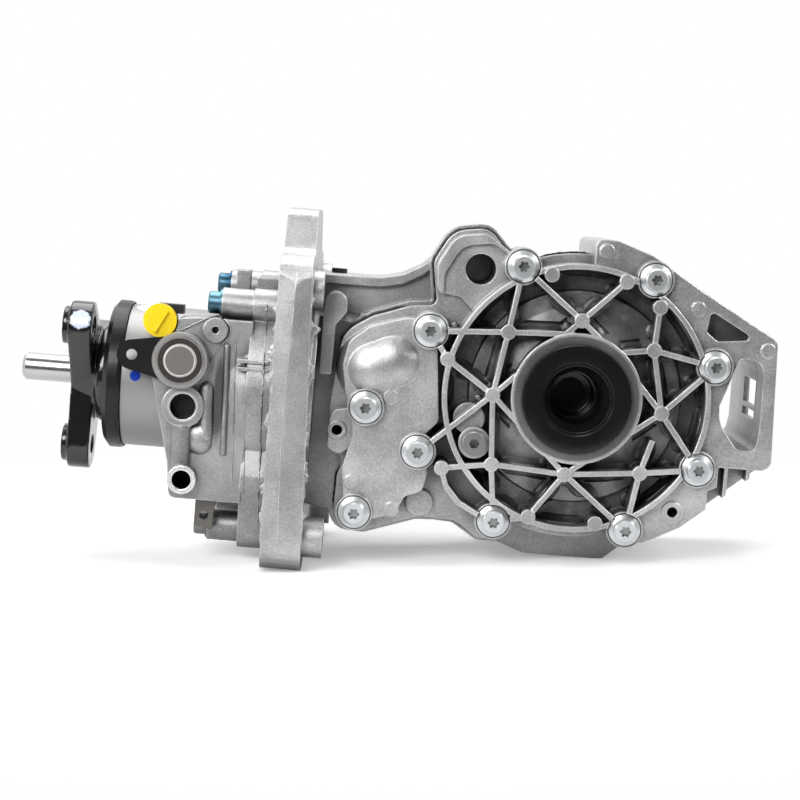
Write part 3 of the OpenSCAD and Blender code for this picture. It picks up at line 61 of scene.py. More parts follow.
# Pale studio floor under the unit. A camera sees it a little brighter than it is lit, so that it runs
# into the white background, and it keeps the soft shadow under the castings.
class Socket:
    """One output of a shader node. Sums on it add Math nodes."""

    def __init__(self, tree, output=None):
        self.tree = tree
        self.output = output

    def add(self, kind, settings, values, output=0):
        """New node with its settings, then with the values or links of its sockets."""
        node = self.tree.nodes.new(kind)
        for name, value in settings.items():
            setattr(node, name, value)
        for name, value in values.items():
            if isinstance(value, Socket):
                self.tree.links.new(value.output, node.inputs[name])
            else:
                node.inputs[name].default_value = value
        return Socket(self.tree, node.outputs[output] if len(node.outputs) else None)

    def maths(self, operation, first, second=0.0):
        """One Math node."""
        return self.add("ShaderNodeMath", {"operation": operation}, {0: first, 1: second})

    def __add__(self, other):
        return self.maths("ADD", self, other)

    def __sub__(self, other):
        return self.maths("SUBTRACT", self, other)

    def __rsub__(self, other):
        return self.maths("SUBTRACT", other, self)

    def __mul__(self, other):
        return self.maths("MULTIPLY", self, other)

    def __truediv__(self, other):
        return self.maths("DIVIDE", self, other)

    def __rtruediv__(self, other):
        return self.maths("DIVIDE", other, self)

    def __pow__(self, other):
        return self.maths("POWER", self, other)

    def __lt__(self, other):
        return self.maths("LESS_THAN", self, other)

    __radd__ = __add__
    __rmul__ = __mul__

    def part(self, axis):
        """One coordinate of a vector."""
        return self.add("ShaderNodeSeparateXYZ", {}, {"Vector": self}, axis)

    def reach(self, x, y, z):
        """Distance of a place from the point x, y, z, in metres."""
        return self.add("ShaderNodeVectorMath", {"operation": "DISTANCE"}, {0: self, 1: (x, y, z)}, "Value")

    def grain(self, scale, detail, roughness=0.5):
        """Noise over a place."""
        look = {"Vector": self, "Scale": scale, "Detail": detail, "Roughness": roughness}
        return self.add("ShaderNodeTexNoise", {}, look)

    def ease(self, low, high):
        """Smooth step of this value from 0 at low to 1 at high."""
        ranges = {"From Min": low, "From Max": high, "Value": self}
        return self.add("ShaderNodeMapRange", {"interpolation_type": "SMOOTHSTEP"}, ranges)

    def mix(self, first, second):
        """Colour that goes from first to second as this value goes from 0 to 1."""
        ends = [end if isinstance(end, Socket) else (*end, 1) for end in (first, second)]
        return self.add("ShaderNodeMix", {"data_type": "RGBA"}, {0: self, 6: ends[0], 7: ends[1]}, 2)


def surface(name):
    """New material, and the place on the object that its nodes start from."""
    material = bpy.data.materials.new(name)
    material.use_nodes = True
    material.node_tree.nodes.clear()
    return material, Socket(material.node_tree).add("ShaderNodeTexCoord", {}, {}, "Object")


def shown(shader):
    """Sends a shader to its material's output."""
    shader.add("ShaderNodeOutputMaterial", {}, {"Surface": shader})


floor_level = -0.1087
floor_edges = ((-2, -1.5), (2.4, -1.5), (2.4, 2), (-2, 2))
floor_mesh = bpy.data.meshes.new("floor")
floor_mesh.from_pydata([level @ Vector((x, y, floor_level)) for x, y in floor_edges], [], [(0, 1, 2, 3)])
floor = bpy.data.objects.new("floor", floor_mesh)
bpy.context.collection.objects.link(floor)
floor_material, place = surface("studio_floor")
pool_centre, pool_half_x, pool_half_y = 0.2, 0.62, 0.5
out_x, out_y = (place.part("X") - pool_centre) / pool_half_x, place.part("Y") / pool_half_y
open_floor = (out_x * out_x + out_y * out_y).ease(0.35, 1.0)
camera_ray = place.add("ShaderNodeLightPath", {}, {}, "Is Camera Ray")
lit = place.add("ShaderNodeBsdfDiffuse", {}, {"Color": (0.86, 0.86, 0.865, 1)})
glow = place.add("ShaderNodeEmission", {}, {"Color": camera_ray.mix((0, 0, 0), (0.32, 0.32, 0.32))})
paper = place.add("ShaderNodeAddShader", {}, {0: lit, 1: glow})
clear = place.add("ShaderNodeBsdfTransparent", {}, {})
shown(place.add("ShaderNodeMixShader", {}, {0: open_floor, 1: paper, 2: clear}))
floor_mesh.materials.append(floor_material)


# Soft studio light: a white surround, large lamps overhead and in front, and two smaller ones to the
# sides. The surround is white to the camera. In reflections it is white behind and beside the unit and
# falls off to the dim room in front of it, and as a light it is dimmer.
world = bpy.data.worlds.new("surround")
bpy.context.scene.world = world
world.use_nodes = True
world.node_tree.nodes.clear()
sky = Socket(world.node_tree)
seen = sky.add("ShaderNodeLightPath", {}, {}, "Is Camera Ray")
mirrored = sky.add("ShaderNodeLightPath", {}, {}, "Is Glossy Ray")
through = sky.add("ShaderNodeLightPath", {}, {}, "Is Transmission Ray")
towards = sky.add("ShaderNodeTexCoord", {}, {}, "Generated")
dim_room, as_light = 0.05, 0.22
tent = dim_room + towards.part("Y").ease(-0.6, 0.3)
white = sky.maths("MAXIMUM", seen, through)
strength = as_light * (1 - white) * (1 - mirrored) + white + mirrored * (1 - white) * tent
surround = sky.add("ShaderNodeBackground", {}, {"Color": (1, 1, 1, 1), "Strength": strength})
sky.add("ShaderNodeOutputWorld", {}, {"Surface": surround})

for name, stand, size, power in (
    ("overhead", (0.15, 0.25, 1.1), 1.1, 10),
    ("front", (-0.4, -1.3, 0.75), 0.8, 17),
    ("left", (-1.0, -0.6, 0.5), 0.4, 5),
    ("right", (1.3, -0.6, 0.7), 0.5, 7),
):
    lamp = bpy.data.objects.new(name, bpy.data.lights.new(name, "AREA"))
    lamp.data.shape = "DISK"
    lamp.data.size = size
    lamp.data.energy = power
    spot = level @ Vector(stand)
    lamp.matrix_world = Matrix.Translation(spot) @ (spot - aim).to_track_quat("Z", "Y").to_matrix().to_4x4()
    bpy.context.collection.objects.link(lamp)


# Housings of the final drive, cover and coupling. They are die-cast aluminium, shot-blasted to an even
# silver grain, with the faces of bosses and seats machined bright, and are screwed to each other.
def dress(material, *nodes):
    """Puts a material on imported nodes."""
    for node in nodes:
        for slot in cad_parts[node].material_slots:
            slot.material = material


def cast_aluminium(name, tone, recess_shade, edge_radius, marks_and_painted_light=None):
    """Die-cast skin: sandy grain, cloudy tone, edges rubbed bright with a painted highlight on them, and
    painted shade in the corners.
    """
    material, place = surface(name)
    sand, cloud = place.grain(1100, 3, 0.7), place.grain(38, 5, 0.62)
    blotch, nicks = place.grain(11, 3), place.grain(150, 4, 0.75)
    true_normal = place.add("ShaderNodeNewGeometry", {}, {}, "Normal")
    round_normal = place.add("ShaderNodeBevel", {"samples": 6}, {"Radius": edge_radius}, "Normal")
    normals = {0: round_normal, 1: true_normal}
    turned_by = place.add("ShaderNodeVectorMath", {"operation": "DOT_PRODUCT"}, normals, "Value")
    hollow = place.add("ShaderNodeAmbientOcclusion", {"samples": 6}, {"Distance": 0.016}, "AO")
    edge = (1 - turned_by + (nicks - 0.5) * 0.12).ease(0.015, 0.12) * hollow.ease(0.35, 0.85)
    shade = cloud * 1.1 + blotch * 0.5 + sand * 1.1 - 0.92
    light, dark = [min(c * 1.22, 0.9) for c in tone], [c * 0.66 for c in tone]
    skin = shade.ease(0.1, 0.8).mix(dark, light)
    # Painted shade: the colour darkens in corners and recesses wherever ambient occlusion finds them.
    shaded_recesses = hollow.ease(0.02, 0.84).mix([c * recess_shade for c in tone], skin)
    # Painted highlight and wear: rounded-off edges are lightened towards bare metal, less so in recesses.
    colour = (edge * 0.85).mix(shaded_recesses, (0.86, 0.865, 0.875))
    rough = 0.31 + cloud * 0.15 - edge * 0.08
    if marks_and_painted_light:
        colour, rough = marks_and_painted_light(place, colour, rough)
    blasted = {"Strength": 0.55, "Distance": 0.0006, "Height": sand * 0.6 + cloud, "Normal": round_normal}
    lumps = place.add("ShaderNodeBump", {}, blasted)
    shown(place.add("ShaderNodeBsdfPrincipled", {}, {
        "Base Color": colour, "Metallic": 0.85, "Roughness": rough, "Normal": lumps}))
    return material


def off_axis(place, x, z):
    """Distance of a place from an axis along Y, in metres."""
    side, height = place.part("X") - x, place.part("Z") - z
    return (side * side + height * height) ** 0.5


def inside(value, low, high):
    """1 where a value lies between two others, with a soft rim."""
    rim = (high - low) * 0.12
    return value.ease(low - rim, low + rim) * (1 - value.ease(high - rim, high + rim))


output_axis = (0.294, 0.0125)
low_port, middle_port = (0.0757, -0.0517), (0.0729, -0.0109)
# Colour of the machined port faces, and near-black painted shade for the bores.
machined_bright, painted_bore_shade = (0.88, 0.88, 0.88), (0.03, 0.03, 0.03)


def cover_painted_shade(place, colour, rough):
    """Painted shade on the cover: a dark ring round the output seal, and the web between the ribs darkened in
    patches below their tops.
    """
    radius = off_axis(place, *output_axis)
    shade_patches = place.grain(55, 4, 0.6)
    # Painted shade: the web between the ribs is darkened in patches.
    web = (1 - radius.ease(0.0715, 0.0735)) * place.part("Y").ease(-0.0595, -0.0565)
    colour = (web * (0.42 + shade_patches.ease(0.35, 0.65) * 0.4)).mix(colour, (0.05, 0.05, 0.052))
    # Painted shade: a dark ring on the hub face round the output seal.
    ring = inside(radius, 0.0312, 0.0352) * (place.part("Y") < -0.0600)
    return (ring * 0.75).mix(colour, (0.10, 0.10, 0.102)), rough


def port_faces_and_shade(place, colour, rough):
    """Machined faces of the two ports, turned bright, with painted shade in their bores and a patch of painted
    shade for the hollow beside them.
    """
    y = place.part("Y")
    from_low, from_middle = off_axis(place, *low_port), off_axis(place, *middle_port)
    low_face = inside(from_low, 0.0050, 0.0084) * (y < -0.0585)
    middle_face = inside(from_middle, 0.0070, 0.0088) * (y < -0.0520)
    bright = low_face + middle_face * 0.5
    across, up = (place.part("X") - 0.0925) / 0.0040, (place.part("Z") + 0.0050) / 0.0270
    # A patch of painted shade stands for the hollow beside the ports.
    hollow_shade = (1 - (across * across + up * up).ease(0.3, 1.1)) * (y < -0.0400)
    # Painted shade: the bores are coloured near black.
    bore_shade = (from_middle < 0.0074) + (from_low < 0.0055)
    colour = (hollow_shade * 0.85).mix(colour, (0.07, 0.065, 0.06))
    colour = bright.mix(colour, machined_bright)
    return (bore_shade * (1 - bright)).mix(colour, painted_bore_shade), rough - bright * 0.12


housing_skin = cast_aluminium("cast_housing", (0.50, 0.50, 0.507), 0.34, 0.0014)
cover_skin = cast_aluminium("cast_cover", (0.58, 0.58, 0.587), 0.12, 0.0013, cover_painted_shade)
coupling_skin = cast_aluminium("cast_coupling", (0.42, 0.42, 0.426), 0.26, 0.0012, port_faces_and_shade)
dress(housing_skin, "main_housing")
dress(cover_skin, "side_cover")
dress(coupling_skin, "coupling_housing")


# Clutch can and accumulator cap on the coupling, and the tab under it. They are pressed from sheet steel,
# and the can and cap are turned afterwards, which leaves a fine streak. The can is pushed into the coupling.
def steel(name, tone, roughness, streak, metallic=1.0, marks_and_painted_light=None):
    """Bare or plated steel, cloudy, with a fine streak and painted shade in its hollows. Other marks, some with
    painted light, can be laid over it.
    """
    material, place = surface(name)
    fine = place.add("ShaderNodeMapping", {}, {"Vector": place, "Scale": streak}).grain(1, 5, 0.7)
    cloud = place.grain(60, 4)
    colour = (fine * 0.5 + cloud * 0.5).mix([c * 0.8 for c in tone], tone)
    rough = roughness - 0.08 + fine * 0.16
    hollow = place.add("ShaderNodeAmbientOcclusion", {"samples": 4}, {"Distance": 0.005}, "AO")
    # Painted shade: the colour darkens in hollows such as screw sockets, wherever ambient occlusion finds them.
    colour = hollow.ease(0.1, 0.75).mix([c * 0.3 for c in tone], colour)
    if marks_and_painted_light:
        colour, rough = marks_and_painted_light(place, colour, rough, cloud)
    relief = place.add("ShaderNodeBump", {}, {"Strength": 0.25, "Distance": 0.0001, "Height": fine})
    shown(place.add("ShaderNodeBsdfPrincipled", {}, {
        "Base Color": colour, "Metallic": metallic, "Roughness": rough, "Normal": relief}))
    return material


def paint_dots(place, colour, rough, cloud):
    """Dab of blue inspection paint on the can's side and a white one above it."""
    blue = 1 - (place.reach(0.0434, -0.0413, 0.0033) + cloud * 0.002).ease(0.0040, 0.0046)
    white = 1 - (place.reach(0.0440, -0.0080, 0.0407) + cloud * 0.004).ease(0.0072, 0.0084)
    colour = blue.mix(colour, (0.01, 0.05, 0.42))
    return white.mix(colour, (0.9, 0.9, 0.92)), rough + (blue + white) * 0.15


cap_axis = (0.070, 0.0154)
cap_radians_per_metre = 5200


def turned_cap(place, colour, rough, cloud):
    """Tool rings on the drawn cap: rim with a painted highlight, dark annulus and brushed middle."""
    radius = off_axis(place, *cap_axis)
    rings = place.maths("SINE", radius * cap_radians_per_metre) * 0.5 + 0.5
    annulus = inside(radius, 0.0090, 0.0126)
    # Painted highlight: a near-white ring on the rim round the middle.
    lip_highlight = inside(radius, 0.0082, 0.0094)
    colour = annulus.mix(colour, (0.055, 0.047, 0.047))
    colour = (rings * annulus * 0.3).mix(colour, (0.30, 0.28, 0.27))
    colour = lip_highlight.mix(colour, (0.95, 0.94, 0.92))
    return (radius < 0.0082).mix(colour, (0.33, 0.31, 0.30)), rough + rings * 0.08 + lip_highlight * 0.25


dress(steel("can_steel", (0.38, 0.375, 0.37), 0.46, (1500, 200, 200), 0.75, paint_dots), "clutch_can")
dress(steel("cap_steel", (0.56, 0.55, 0.54), 0.32, (700, 700, 700), 0.85, turned_cap), "accumulator_cap")
dress(steel("tab_steel", (0.20, 0.19, 0.175), 0.45, (500, 500, 500)), "corner_tab")


# Screws, plugs and nuts, cold-headed and rolled from steel and zinc-plated in a barrel, which leaves them
# softly bright. The coupling's upper screws are passivated blue. All are screwed into the castings.
def blue_above(place, colour, rough, cloud):
    """Blue-passivated screws above the axis, plain zinc ones below it."""
    mottled = cloud.ease(0.35, 0.62).mix((0.02, 0.075, 0.13), (0.14, 0.28, 0.36))
    return place.part("Z").ease(-0.002, 0.002).mix(colour, mottled), rough


dress(steel("zinc_plate", (0.78, 0.80, 0.81), 0.34, (400, 400, 400), 0.75), "cover_bolts")
dress(steel("screw_zinc", (0.34, 0.34, 0.34), 0.36, (600, 600, 600), 1.0, blue_above), "coupling_bolts")
dress(steel("plug_zinc", (0.50, 0.50, 0.49), 0.32, (800, 800, 800)),
    "fill_plug", "drain_plug", "flange_nut", "pinion_nut")


# Running gear: shaft, bearings, clutch and gears. The shaft and bearings are ground, the clutch's parts
# stamped, the gears cut and lapped, and the differential's case is cast iron with bronze washers in it.
dress(steel("ground_steel", (0.60, 0.60, 0.60), 0.22, (2000, 300, 300)),
    "input_shaft", "dowels", "cross_pin", "lock_pin")
dress(steel("bearing_steel", (0.62, 0.62, 0.62), 0.18, (900, 900, 900)),
    "input_bearing_outer", "input_bearing_inner", "pinion_bearing_cups", "diff_bearing_cups", "pilot_bearing",
    "pinion_tail_cone", "pinion_head_cone", "thrust_bearing", "diff_cone_near", "diff_cone_far")
dress(steel("stamped_steel", (0.42, 0.42, 0.42), 0.38, (500, 500, 500)),
    "clutch_drum", "steel_plates", "pressure_plate", "clutch_hub", "pinion_spacer", "clutch_piston",
    "hub_snap_ring")
dress(steel("gear_steel", (0.30, 0.30, 0.31), 0.36, (700, 700, 700)), "ring_gear", "pinion_gear")
dress(steel("bevel_steel", (0.24, 0.24, 0.24), 0.36, (700, 700, 700)),
    "side_gear_near", "side_gear_far", "spider_gear_top", "spider_gear_bottom")
dress(steel("case_iron", (0.16, 0.16, 0.16), 0.50, (300, 300, 300), 0.8), "differential_case")
dress(steel("bronze", (0.55, 0.38, 0.20), 0.30, (700, 700, 700)), "side_washers", "spider_washers")


# Black parts: the painted dust ring and bracket, the moulded connector and breather, the rubber seals
# pressed into their bores, the cured sealant in the joints and the paper faces of the friction plates.
def black(name, tone, roughness, coat, grain, shine=0.35, paint=None):
    """Black coat, plastic or rubber with a fine orange peel and a breath of dust. Paint can lie on it."""
    material, place = surface(name)
    orange_peel = place.grain(grain, 3)
    dust = place.grain(45, 6, 0.7)
    colour = dust.mix(tone, [c + 0.008 for c in tone])
    if paint:
        colour = paint(place, colour)
    relief = place.add("ShaderNodeBump", {}, {"Strength": 0.3, "Distance": 0.0002, "Height": orange_peel})
    shown(place.add("ShaderNodeBsdfPrincipled", {}, {
        "Base Color": colour, "Coat Weight": coat, "Specular IOR Level": shine,
        "Roughness": roughness + dust * 0.12, "Normal": relief}))
    return material


dress(black("ring_coat", (0.004, 0.004, 0.0045), 0.30, 0.1, 500, 0.3), "dust_ring", "harness_bracket")
dress(black("connector_plastic", (0.014, 0.014, 0.014), 0.45, 0.0, 900), "harness_connector", "breather")
dress(black("seal_rubber", (0.006, 0.006, 0.006), 0.32, 0.1, 600),
    "output_seals", "input_seal", "pinion_seal", "piston_seals")
dress(black("sealant", (0.010, 0.010, 0.010), 0.38, 0.0, 500), "cover_sealant", "coupling_gasket")
dress(black("friction_paper", (0.10, 0.06, 0.035), 0.75, 0.0, 1200), "friction_plates")


# Shipping plugs of the two outputs: deep stepped cups, moulded in black plastic. They are pushed through
# the oil seals and close the bores until the drive shafts go in.
def turned(name, centre, points):
    """Piece turned about an axis along Y, from points of radius and y in millimetres."""
    steps, sharp = 120, 0.5
    shape = bmesh.new()
    rings = []
    for radius, y in points:
        ring = []
        for step in range(steps if radius else 1):
            angle = 2 * math.pi * step / steps
            ring.append(shape.verts.new((centre[0] + radius * math.cos(angle) / 1000, y / 1000,
                centre[1] + radius * math.sin(angle) / 1000)))
        rings.append(ring)
    for one, two in zip(rings, rings[1:]):
        for step in range(steps if len(one) > 1 or len(two) > 1 else 0):
            after = (step + 1) % steps
            corners = one[step % len(one)], two[step % len(two)], two[after % len(two)], one[after % len(one)]
            shape.faces.new(list(dict.fromkeys(corners)))
    bmesh.ops.recalc_face_normals(shape, faces=shape.faces)
    for face in shape.faces:
        face.smooth = True
    for edge in shape.edges:
        edge.smooth = len(edge.link_faces) == 2 and edge.calc_face_angle() < sharp
    mesh = bpy.data.meshes.new(name)
    shape.to_mesh(mesh)
    shape.free()
    piece = bpy.data.objects.new(name, mesh)
    bpy.context.collection.objects.link(piece)
    return piece


plug_plastic = black("plug_plastic", (0.003, 0.003, 0.0035), 0.15, 0.0, 260, 0.4)
for name, out, side in (("output_plug_near", 66.0, -1), ("output_plug_far", 61.0, 1)):
    cup = [(30.2, out + 0.15), (30.6, out + 0.5), (30.6, out + 1.7), (30.2, out + 2.1), (29.6, out + 2.2),
        (21.2, out + 2.2), (20.7, out + 2.1), (20.4, out + 1.8), (20.4, out + 1.0), (20.2, out + 0.8),
        (19.3, out + 0.8), (18.9, out + 0.7), (18.6, out + 0.4), (18.4, out - 4.5), (17.8, out - 5.4),
        (15.8, out - 8.2), (15.2, out - 9.2), (15.0, out - 10), (14.8, 36.2), (14.5, 35.5), (14.0, 35.1),
        (13.0, 35.0), (12.7, 34.9), (12.5, 34.6), (12.3, 20.2), (12.0, 19.7), (11.5, 19.5), (9.0, 19.5),
        (8.6, 19.4), (8.4, 19.1), (8.2, 17.9), (0, 17.9)]
    wall = [(0, 17.2), (12.8, 17.2), (13.2, 17.6), (13.2, 34.0), (15.6, 34.3), (15.6, out - 9.2),
        (18.8, out - 5.2), (19.4, out - 4.4), (19.4, out - 0.3), (19.9, out + 0.15), (30.2, out + 0.15)]
    plug = turned(name, output_axis, [(radius, side * y) for radius, y in cup + wall])
    plug.data.materials.append(plug_plastic)
    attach(plug, "housing")


# Black sealant that was squeezed out of the joint between cover and housing. It is a run of cured silicone
# with lumps and thin places, and shows along the top, round the lobe and down the front.
def joint_outline(node, y):
    """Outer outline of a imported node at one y, as points that run once round it."""
    shape = bmesh.new()
    shape.from_mesh(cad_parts[node].data)
    everything = shape.verts[:] + shape.edges[:] + shape.faces[:]
    cut = bmesh.ops.bisect_plane(shape, geom=everything, plane_co=(0, y, 0), plane_no=(0, 1, 0))["geom_cut"]
    near = {}
    for edge in (e for e in cut if isinstance(e, bmesh.types.BMEdge)):
        ends = [tuple(round(c, 6) for c in v.co) for v in edge.verts]
        near.setdefault(ends[0], set()).add(ends[1])
        near.setdefault(ends[1], set()).add(ends[0])
    shape.free()
    at = min(near)
    loop = [at]
    before = None
    while True:
        choices = [n for n in near[at] if n != before and n != at]
        if not choices:
            break
        before, at = at, choices[0]
        if at == loop[0]:
            break
        loop.append(at)
    points = [Vector(p) for p in loop]
    area = sum(a.x * b.z - b.x * a.z for a, b in zip(points, points[1:] + points[:1]))
    return points if area > 0 else points[::-1]


def spaced(points, pace):
    """Path through the points with a further point at about every pace."""
    path = []
    for one, two in zip(points, points[1:]):
        steps = max(1, round((two - one).length / pace))
        path += [one.lerp(two, i / steps) for i in range(steps)]
    return path + [points[-1]]


def between(points, start, end):
    """Stretch of a closed outline from near one place to near another."""
    first, last = (min(range(len(points)), key=lambda i: (points[i].x - x) ** 2 + (points[i].z - z) ** 2)
        for x, z in (start, end))
    count = (last - first) % len(points) + 1
    return [points[(first + i) % len(points)] for i in range(count)]


cover_outline = joint_outline("side_cover", -0.0368)
squeeze = bpy.data.curves.new("squeezed_sealant", "CURVE")
squeeze.dimensions = "3D"
squeeze.bevel_depth = 0.001
squeeze.bevel_resolution = 3
squeeze.use_fill_caps = True
for start, end, thickness in (
    ((0.2530, 0.0915), (0.2095, 0.0570), 0.9), ((0.1965, 0.0475), (0.1588, 0.0160), 1.0),
    ((0.1570, -0.0385), (0.1660, -0.0610), 1.1), ((0.2215, -0.0620), (0.2470, -0.0680), 0.9),
    ((0.2990, 0.0895), (0.2700, 0.0820), 0.8),
):
    run = spaced(between(cover_outline, start, end), 0.0012)
    spline = squeeze.splines.new("POLY")
    spline.points.add(len(run) - 1)
    for i, spot in enumerate(run):
        ahead, behind = run[min(i + 1, len(run) - 1)], run[max(i - 1, 0)]
        along = (ahead - behind).normalized()
        outward = Vector((along.z, 0, -along.x))
        lump = noise.noise(spot * 330) * 0.5 + noise.noise(spot * 900) * 0.35
        taper = min(1, (i + 1) / 6, (len(run) - i) / 6)
        sag = Vector((0, 0.0003 * noise.noise(spot * 500), 0))
        spline.points[i].co = (*(spot + outward * (0.0004 + 0.0003 * lump) + sag), 1)
        spline.points[i].radius = thickness * (0.85 + 0.6 * lump) * taper
bead = bpy.data.objects.new("squeezed_sealant", squeeze)
bpy.context.collection.objects.link(bead)
squeeze.materials.append(black("bead_silicone", (0.006, 0.006, 0.006), 0.34, 0.0, 700, 0.4))
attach(bead, "housing")


# Casting flash: thin ragged fins that the aluminium left where the halves of the die met, along the
# mounting plate and on the coupling. They were broken off but not filed away.
def lofted(shape, rows, soft=0):
    """Closed skin over rows of corners. The first soft faces between two rows are shaded smooth."""
    for one, two in zip(rows, rows[1:]):
        for k in range(len(one)):
            after = (k + 1) % len(one)
            shape.faces.new((one[k], one[after], two[after], two[k])).smooth = k < soft
    shape.faces.new(rows[0][::-1])
    shape.faces.new(rows[-1])


def ridge(shape, path, outward, width, height, rag):
    """Sharp ridge of uneven height and width along a path, in millimetres. Rag is how torn it is."""
    run = spaced([Vector(p) for p in path], 0.9)
    out = Vector(outward).normalized()
    root = -0.5 * out
    rows = []
    for i, spot in enumerate(run):
        along = (run[min(i + 1, len(run) - 1)] - run[max(i - 1, 0)]).normalized()
        across = along.cross(out)
        uneven = noise.noise(spot * 0.13) + 0.6 * noise.noise(spot * 0.55)
        tall = height * max(0.12, 1 - rag * 0.5 + rag * 1.3 * uneven)
        half = width / 2 * (1 + 0.5 * noise.noise(spot * 0.3 + out))
        sway = across * (rag * 0.5 * half * noise.noise(spot * 0.8))
        shoulder = out * tall * 0.75 - across * half * 0.3 + sway
        crest = out * tall + across * half * 0.1 + sway
        corners = root - across * half, shoulder, crest, root + across * half
        rows.append([shape.verts.new((spot + corner) / 1000) for corner in corners])
    lofted(shape, rows)


def cast_on(name, shape, material):
    """Ends a piece that is part of a casting, and rides it on the housing."""
    mesh = bpy.data.meshes.new(name)
    bmesh.ops.recalc_face_normals(shape, faces=shape.faces)
    shape.to_mesh(mesh)
    shape.free()
    piece = bpy.data.objects.new(name, mesh)
    bpy.context.collection.objects.link(piece)
    mesh.materials.append(material)
    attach(piece, "housing")


def flash(name, material, runs):
    """One piece made of several ridges."""
    shape = bmesh.new()
    for run in runs:
        ridge(shape, *run)
    cast_on(name, shape, material)


def laid(node, path):
    """Path of x and z in millimetres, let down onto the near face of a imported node."""
    spots = spaced([Vector((x, -200, z)) for x, z in path], 1.5)
    hits = [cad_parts[node].ray_cast(spot / 1000, Vector((0, 1, 0))) for spot in spots]
    return [tuple(at * 1000) for found, at, _, _ in hits if found]


def arc(x, z, radius, start, end, steps=14):
    """Points on a circle from one angle to another in degrees, counted from +X to +Z."""
    angles = [math.radians(start + (end - start) * i / steps) for i in range(steps + 1)]
    return [(x + radius * math.cos(angle), z + radius * math.sin(angle)) for angle in angles]


plate_runs = []
for side in (-1, 1):
    plate_runs += [
        ([(133, side * 74.6, 75.5), (133, side * 78.5, 70.5), (132.9, side * 79.9, 64),
            (132.2, side * 79.9, 34), (131.6, side * 79.9, -28), (133.4, side * 79.9, -80)],
            (0, side, 0), 1.5, 0.7, 0.5),
        ([(123.3, side * 78.5, 60), (123.6, side * 78.5, -80)], (-0.6, side * 0.8, 0), 1.2, 0.7, 1.0),
        ([(123.2, side * 76, 52), (123.6, side * 75, -70)], (-1, 0, 0), 1.6, 1.7, 1.5),
        ([(123.2, side * 72.5, 40), (123.6, side * 73, -40)], (-1, 0, 0), 1.6, 2.2, 1.6),
        ([(141.9, side * 78.8, 64), (146.8, side * 78.2, -80)], (0.6, side * 0.8, 0), 1.2, 0.7, 1.0),
        ([(142.0, side * 76, 58), (146.4, side * 75.5, -72)], (1, 0, 0), 1.8, 2.0, 1.6),
        ([(142.6, side * 72.5, 44), (145.6, side * 73, -50)], (1, 0, 0), 1.8, 2.6, 1.6),
    ]
flash("plate_flash", housing_skin, plate_runs)

near_side = (0, -1, 0)
ear_rim = [(59.5, 26.5)] + arc(88.2, 33.8, 8.2, 128, -52) + [(82.0, 7.5)]
end_step = [(115.5, 50), (117, 20), (118.0, -20), (119.5, -75)]
flash("coupling_beads", coupling_skin, [
    (laid("coupling_housing", ear_rim), near_side, 1.5, 1.0, 0.2),
    (laid("coupling_housing", [(100.0, 28), (101.0, 5), (103.6, -55)]), near_side, 1.2, 0.9, 0.5),
    (laid("coupling_housing", [(107.5, 20), (108.5, -20), (110.5, -58)]), near_side, 1.4, 1.0, 0.6),
    (laid("coupling_housing", end_step), near_side, 1.8, 1.3, 0.9),
])


# Oil gallery and bar on the coupling's near face, cast in one with it and half round with domed ends.
# The gallery runs down past the two ports in two stretches, and the bar stiffens the wall beside it.
def half_round(shape, top, foot, radius, height):
    """Rounded form from one end to the other that stands out of a near face, in millimetres."""
    sides, pace, root = 14, 0.8, 0.4
    top, foot = Vector(top), Vector(foot)
    count = round((foot - top).length / pace)
    across = (foot - top).normalized().cross(Vector(near_side))
    rows = []
    for i in range(count + 1):
        spot = top.lerp(foot, i / count)
        from_end = min(i, count - i) * pace / radius
        dome = math.sqrt(max(0.02, 1 - max(0, 1 - from_end) ** 2))
        row = []
        for k in range(sides + 1):
            angle = math.pi * k / sides
            swell = Vector((0, root - (height + root) * dome * math.sin(angle), 0))
            row.append(shape.verts.new((spot + across * (radius * dome * math.cos(angle)) + swell) / 1000))
        rows.append(row)
    lofted(shape, rows, sides)


gallery = bmesh.new()
half_round(gallery, (85.3, -49, 4), (87.0, -49, -30), 4.2, 3.3)
half_round(gallery, (82.5, -49, -20.5), (83.9, -49, -38), 7.6, 3.5)
half_round(gallery, (95.2, -49, 27), (97.4, -49, -38), 2.0, 2.2)
cast_on("coupling_gallery", gallery, coupling_skin)


# Flash round the window of the rear bracket, which is one casting with the side cover. The aluminium
# left this thin rim where the two halves of the die met in the window.
hub_x, hub_z = 294, 12.5
window = ((88.5, 24.5), (90, 28.6), (92.5, 29.9), (101, 28.6), (104.4, 26), (105.1, 21), (105.5, -10),
    (105.0, -17), (104, -21.4), (101, -22.6), (95, -22.5), (92, -21), (84, -11), (81.6, -5), (81.3, 2),
    (88.5, 24.5))
window_edge = [(hub_x + x, -55, hub_z + z) for x, z in window]
flash("window_flash", cover_skin, [(window_edge, near_side, 1.0, 0.6, 1.0)])


# Fillets at the feet of the side cover's ribs. The die has wide radii there, so that the aluminium fills
# the ribs and doesn't tear as it shrinks. They run along both sides of each rib and inside the rim.
def floor_of_cover(x, z):
    """Y of the cover's near face at a place, or None where a rib, pad or hole is. Millimetres."""
    rib_side, joint_side = -57, -38
    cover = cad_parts["side_cover"]
    found, at = cover.ray_cast(Vector((x, -200, z)) / 1000, Vector((0, 1, 0)))[:2]
    return at.y * 1000 if found and rib_side < at.y * 1000 < joint_side else None


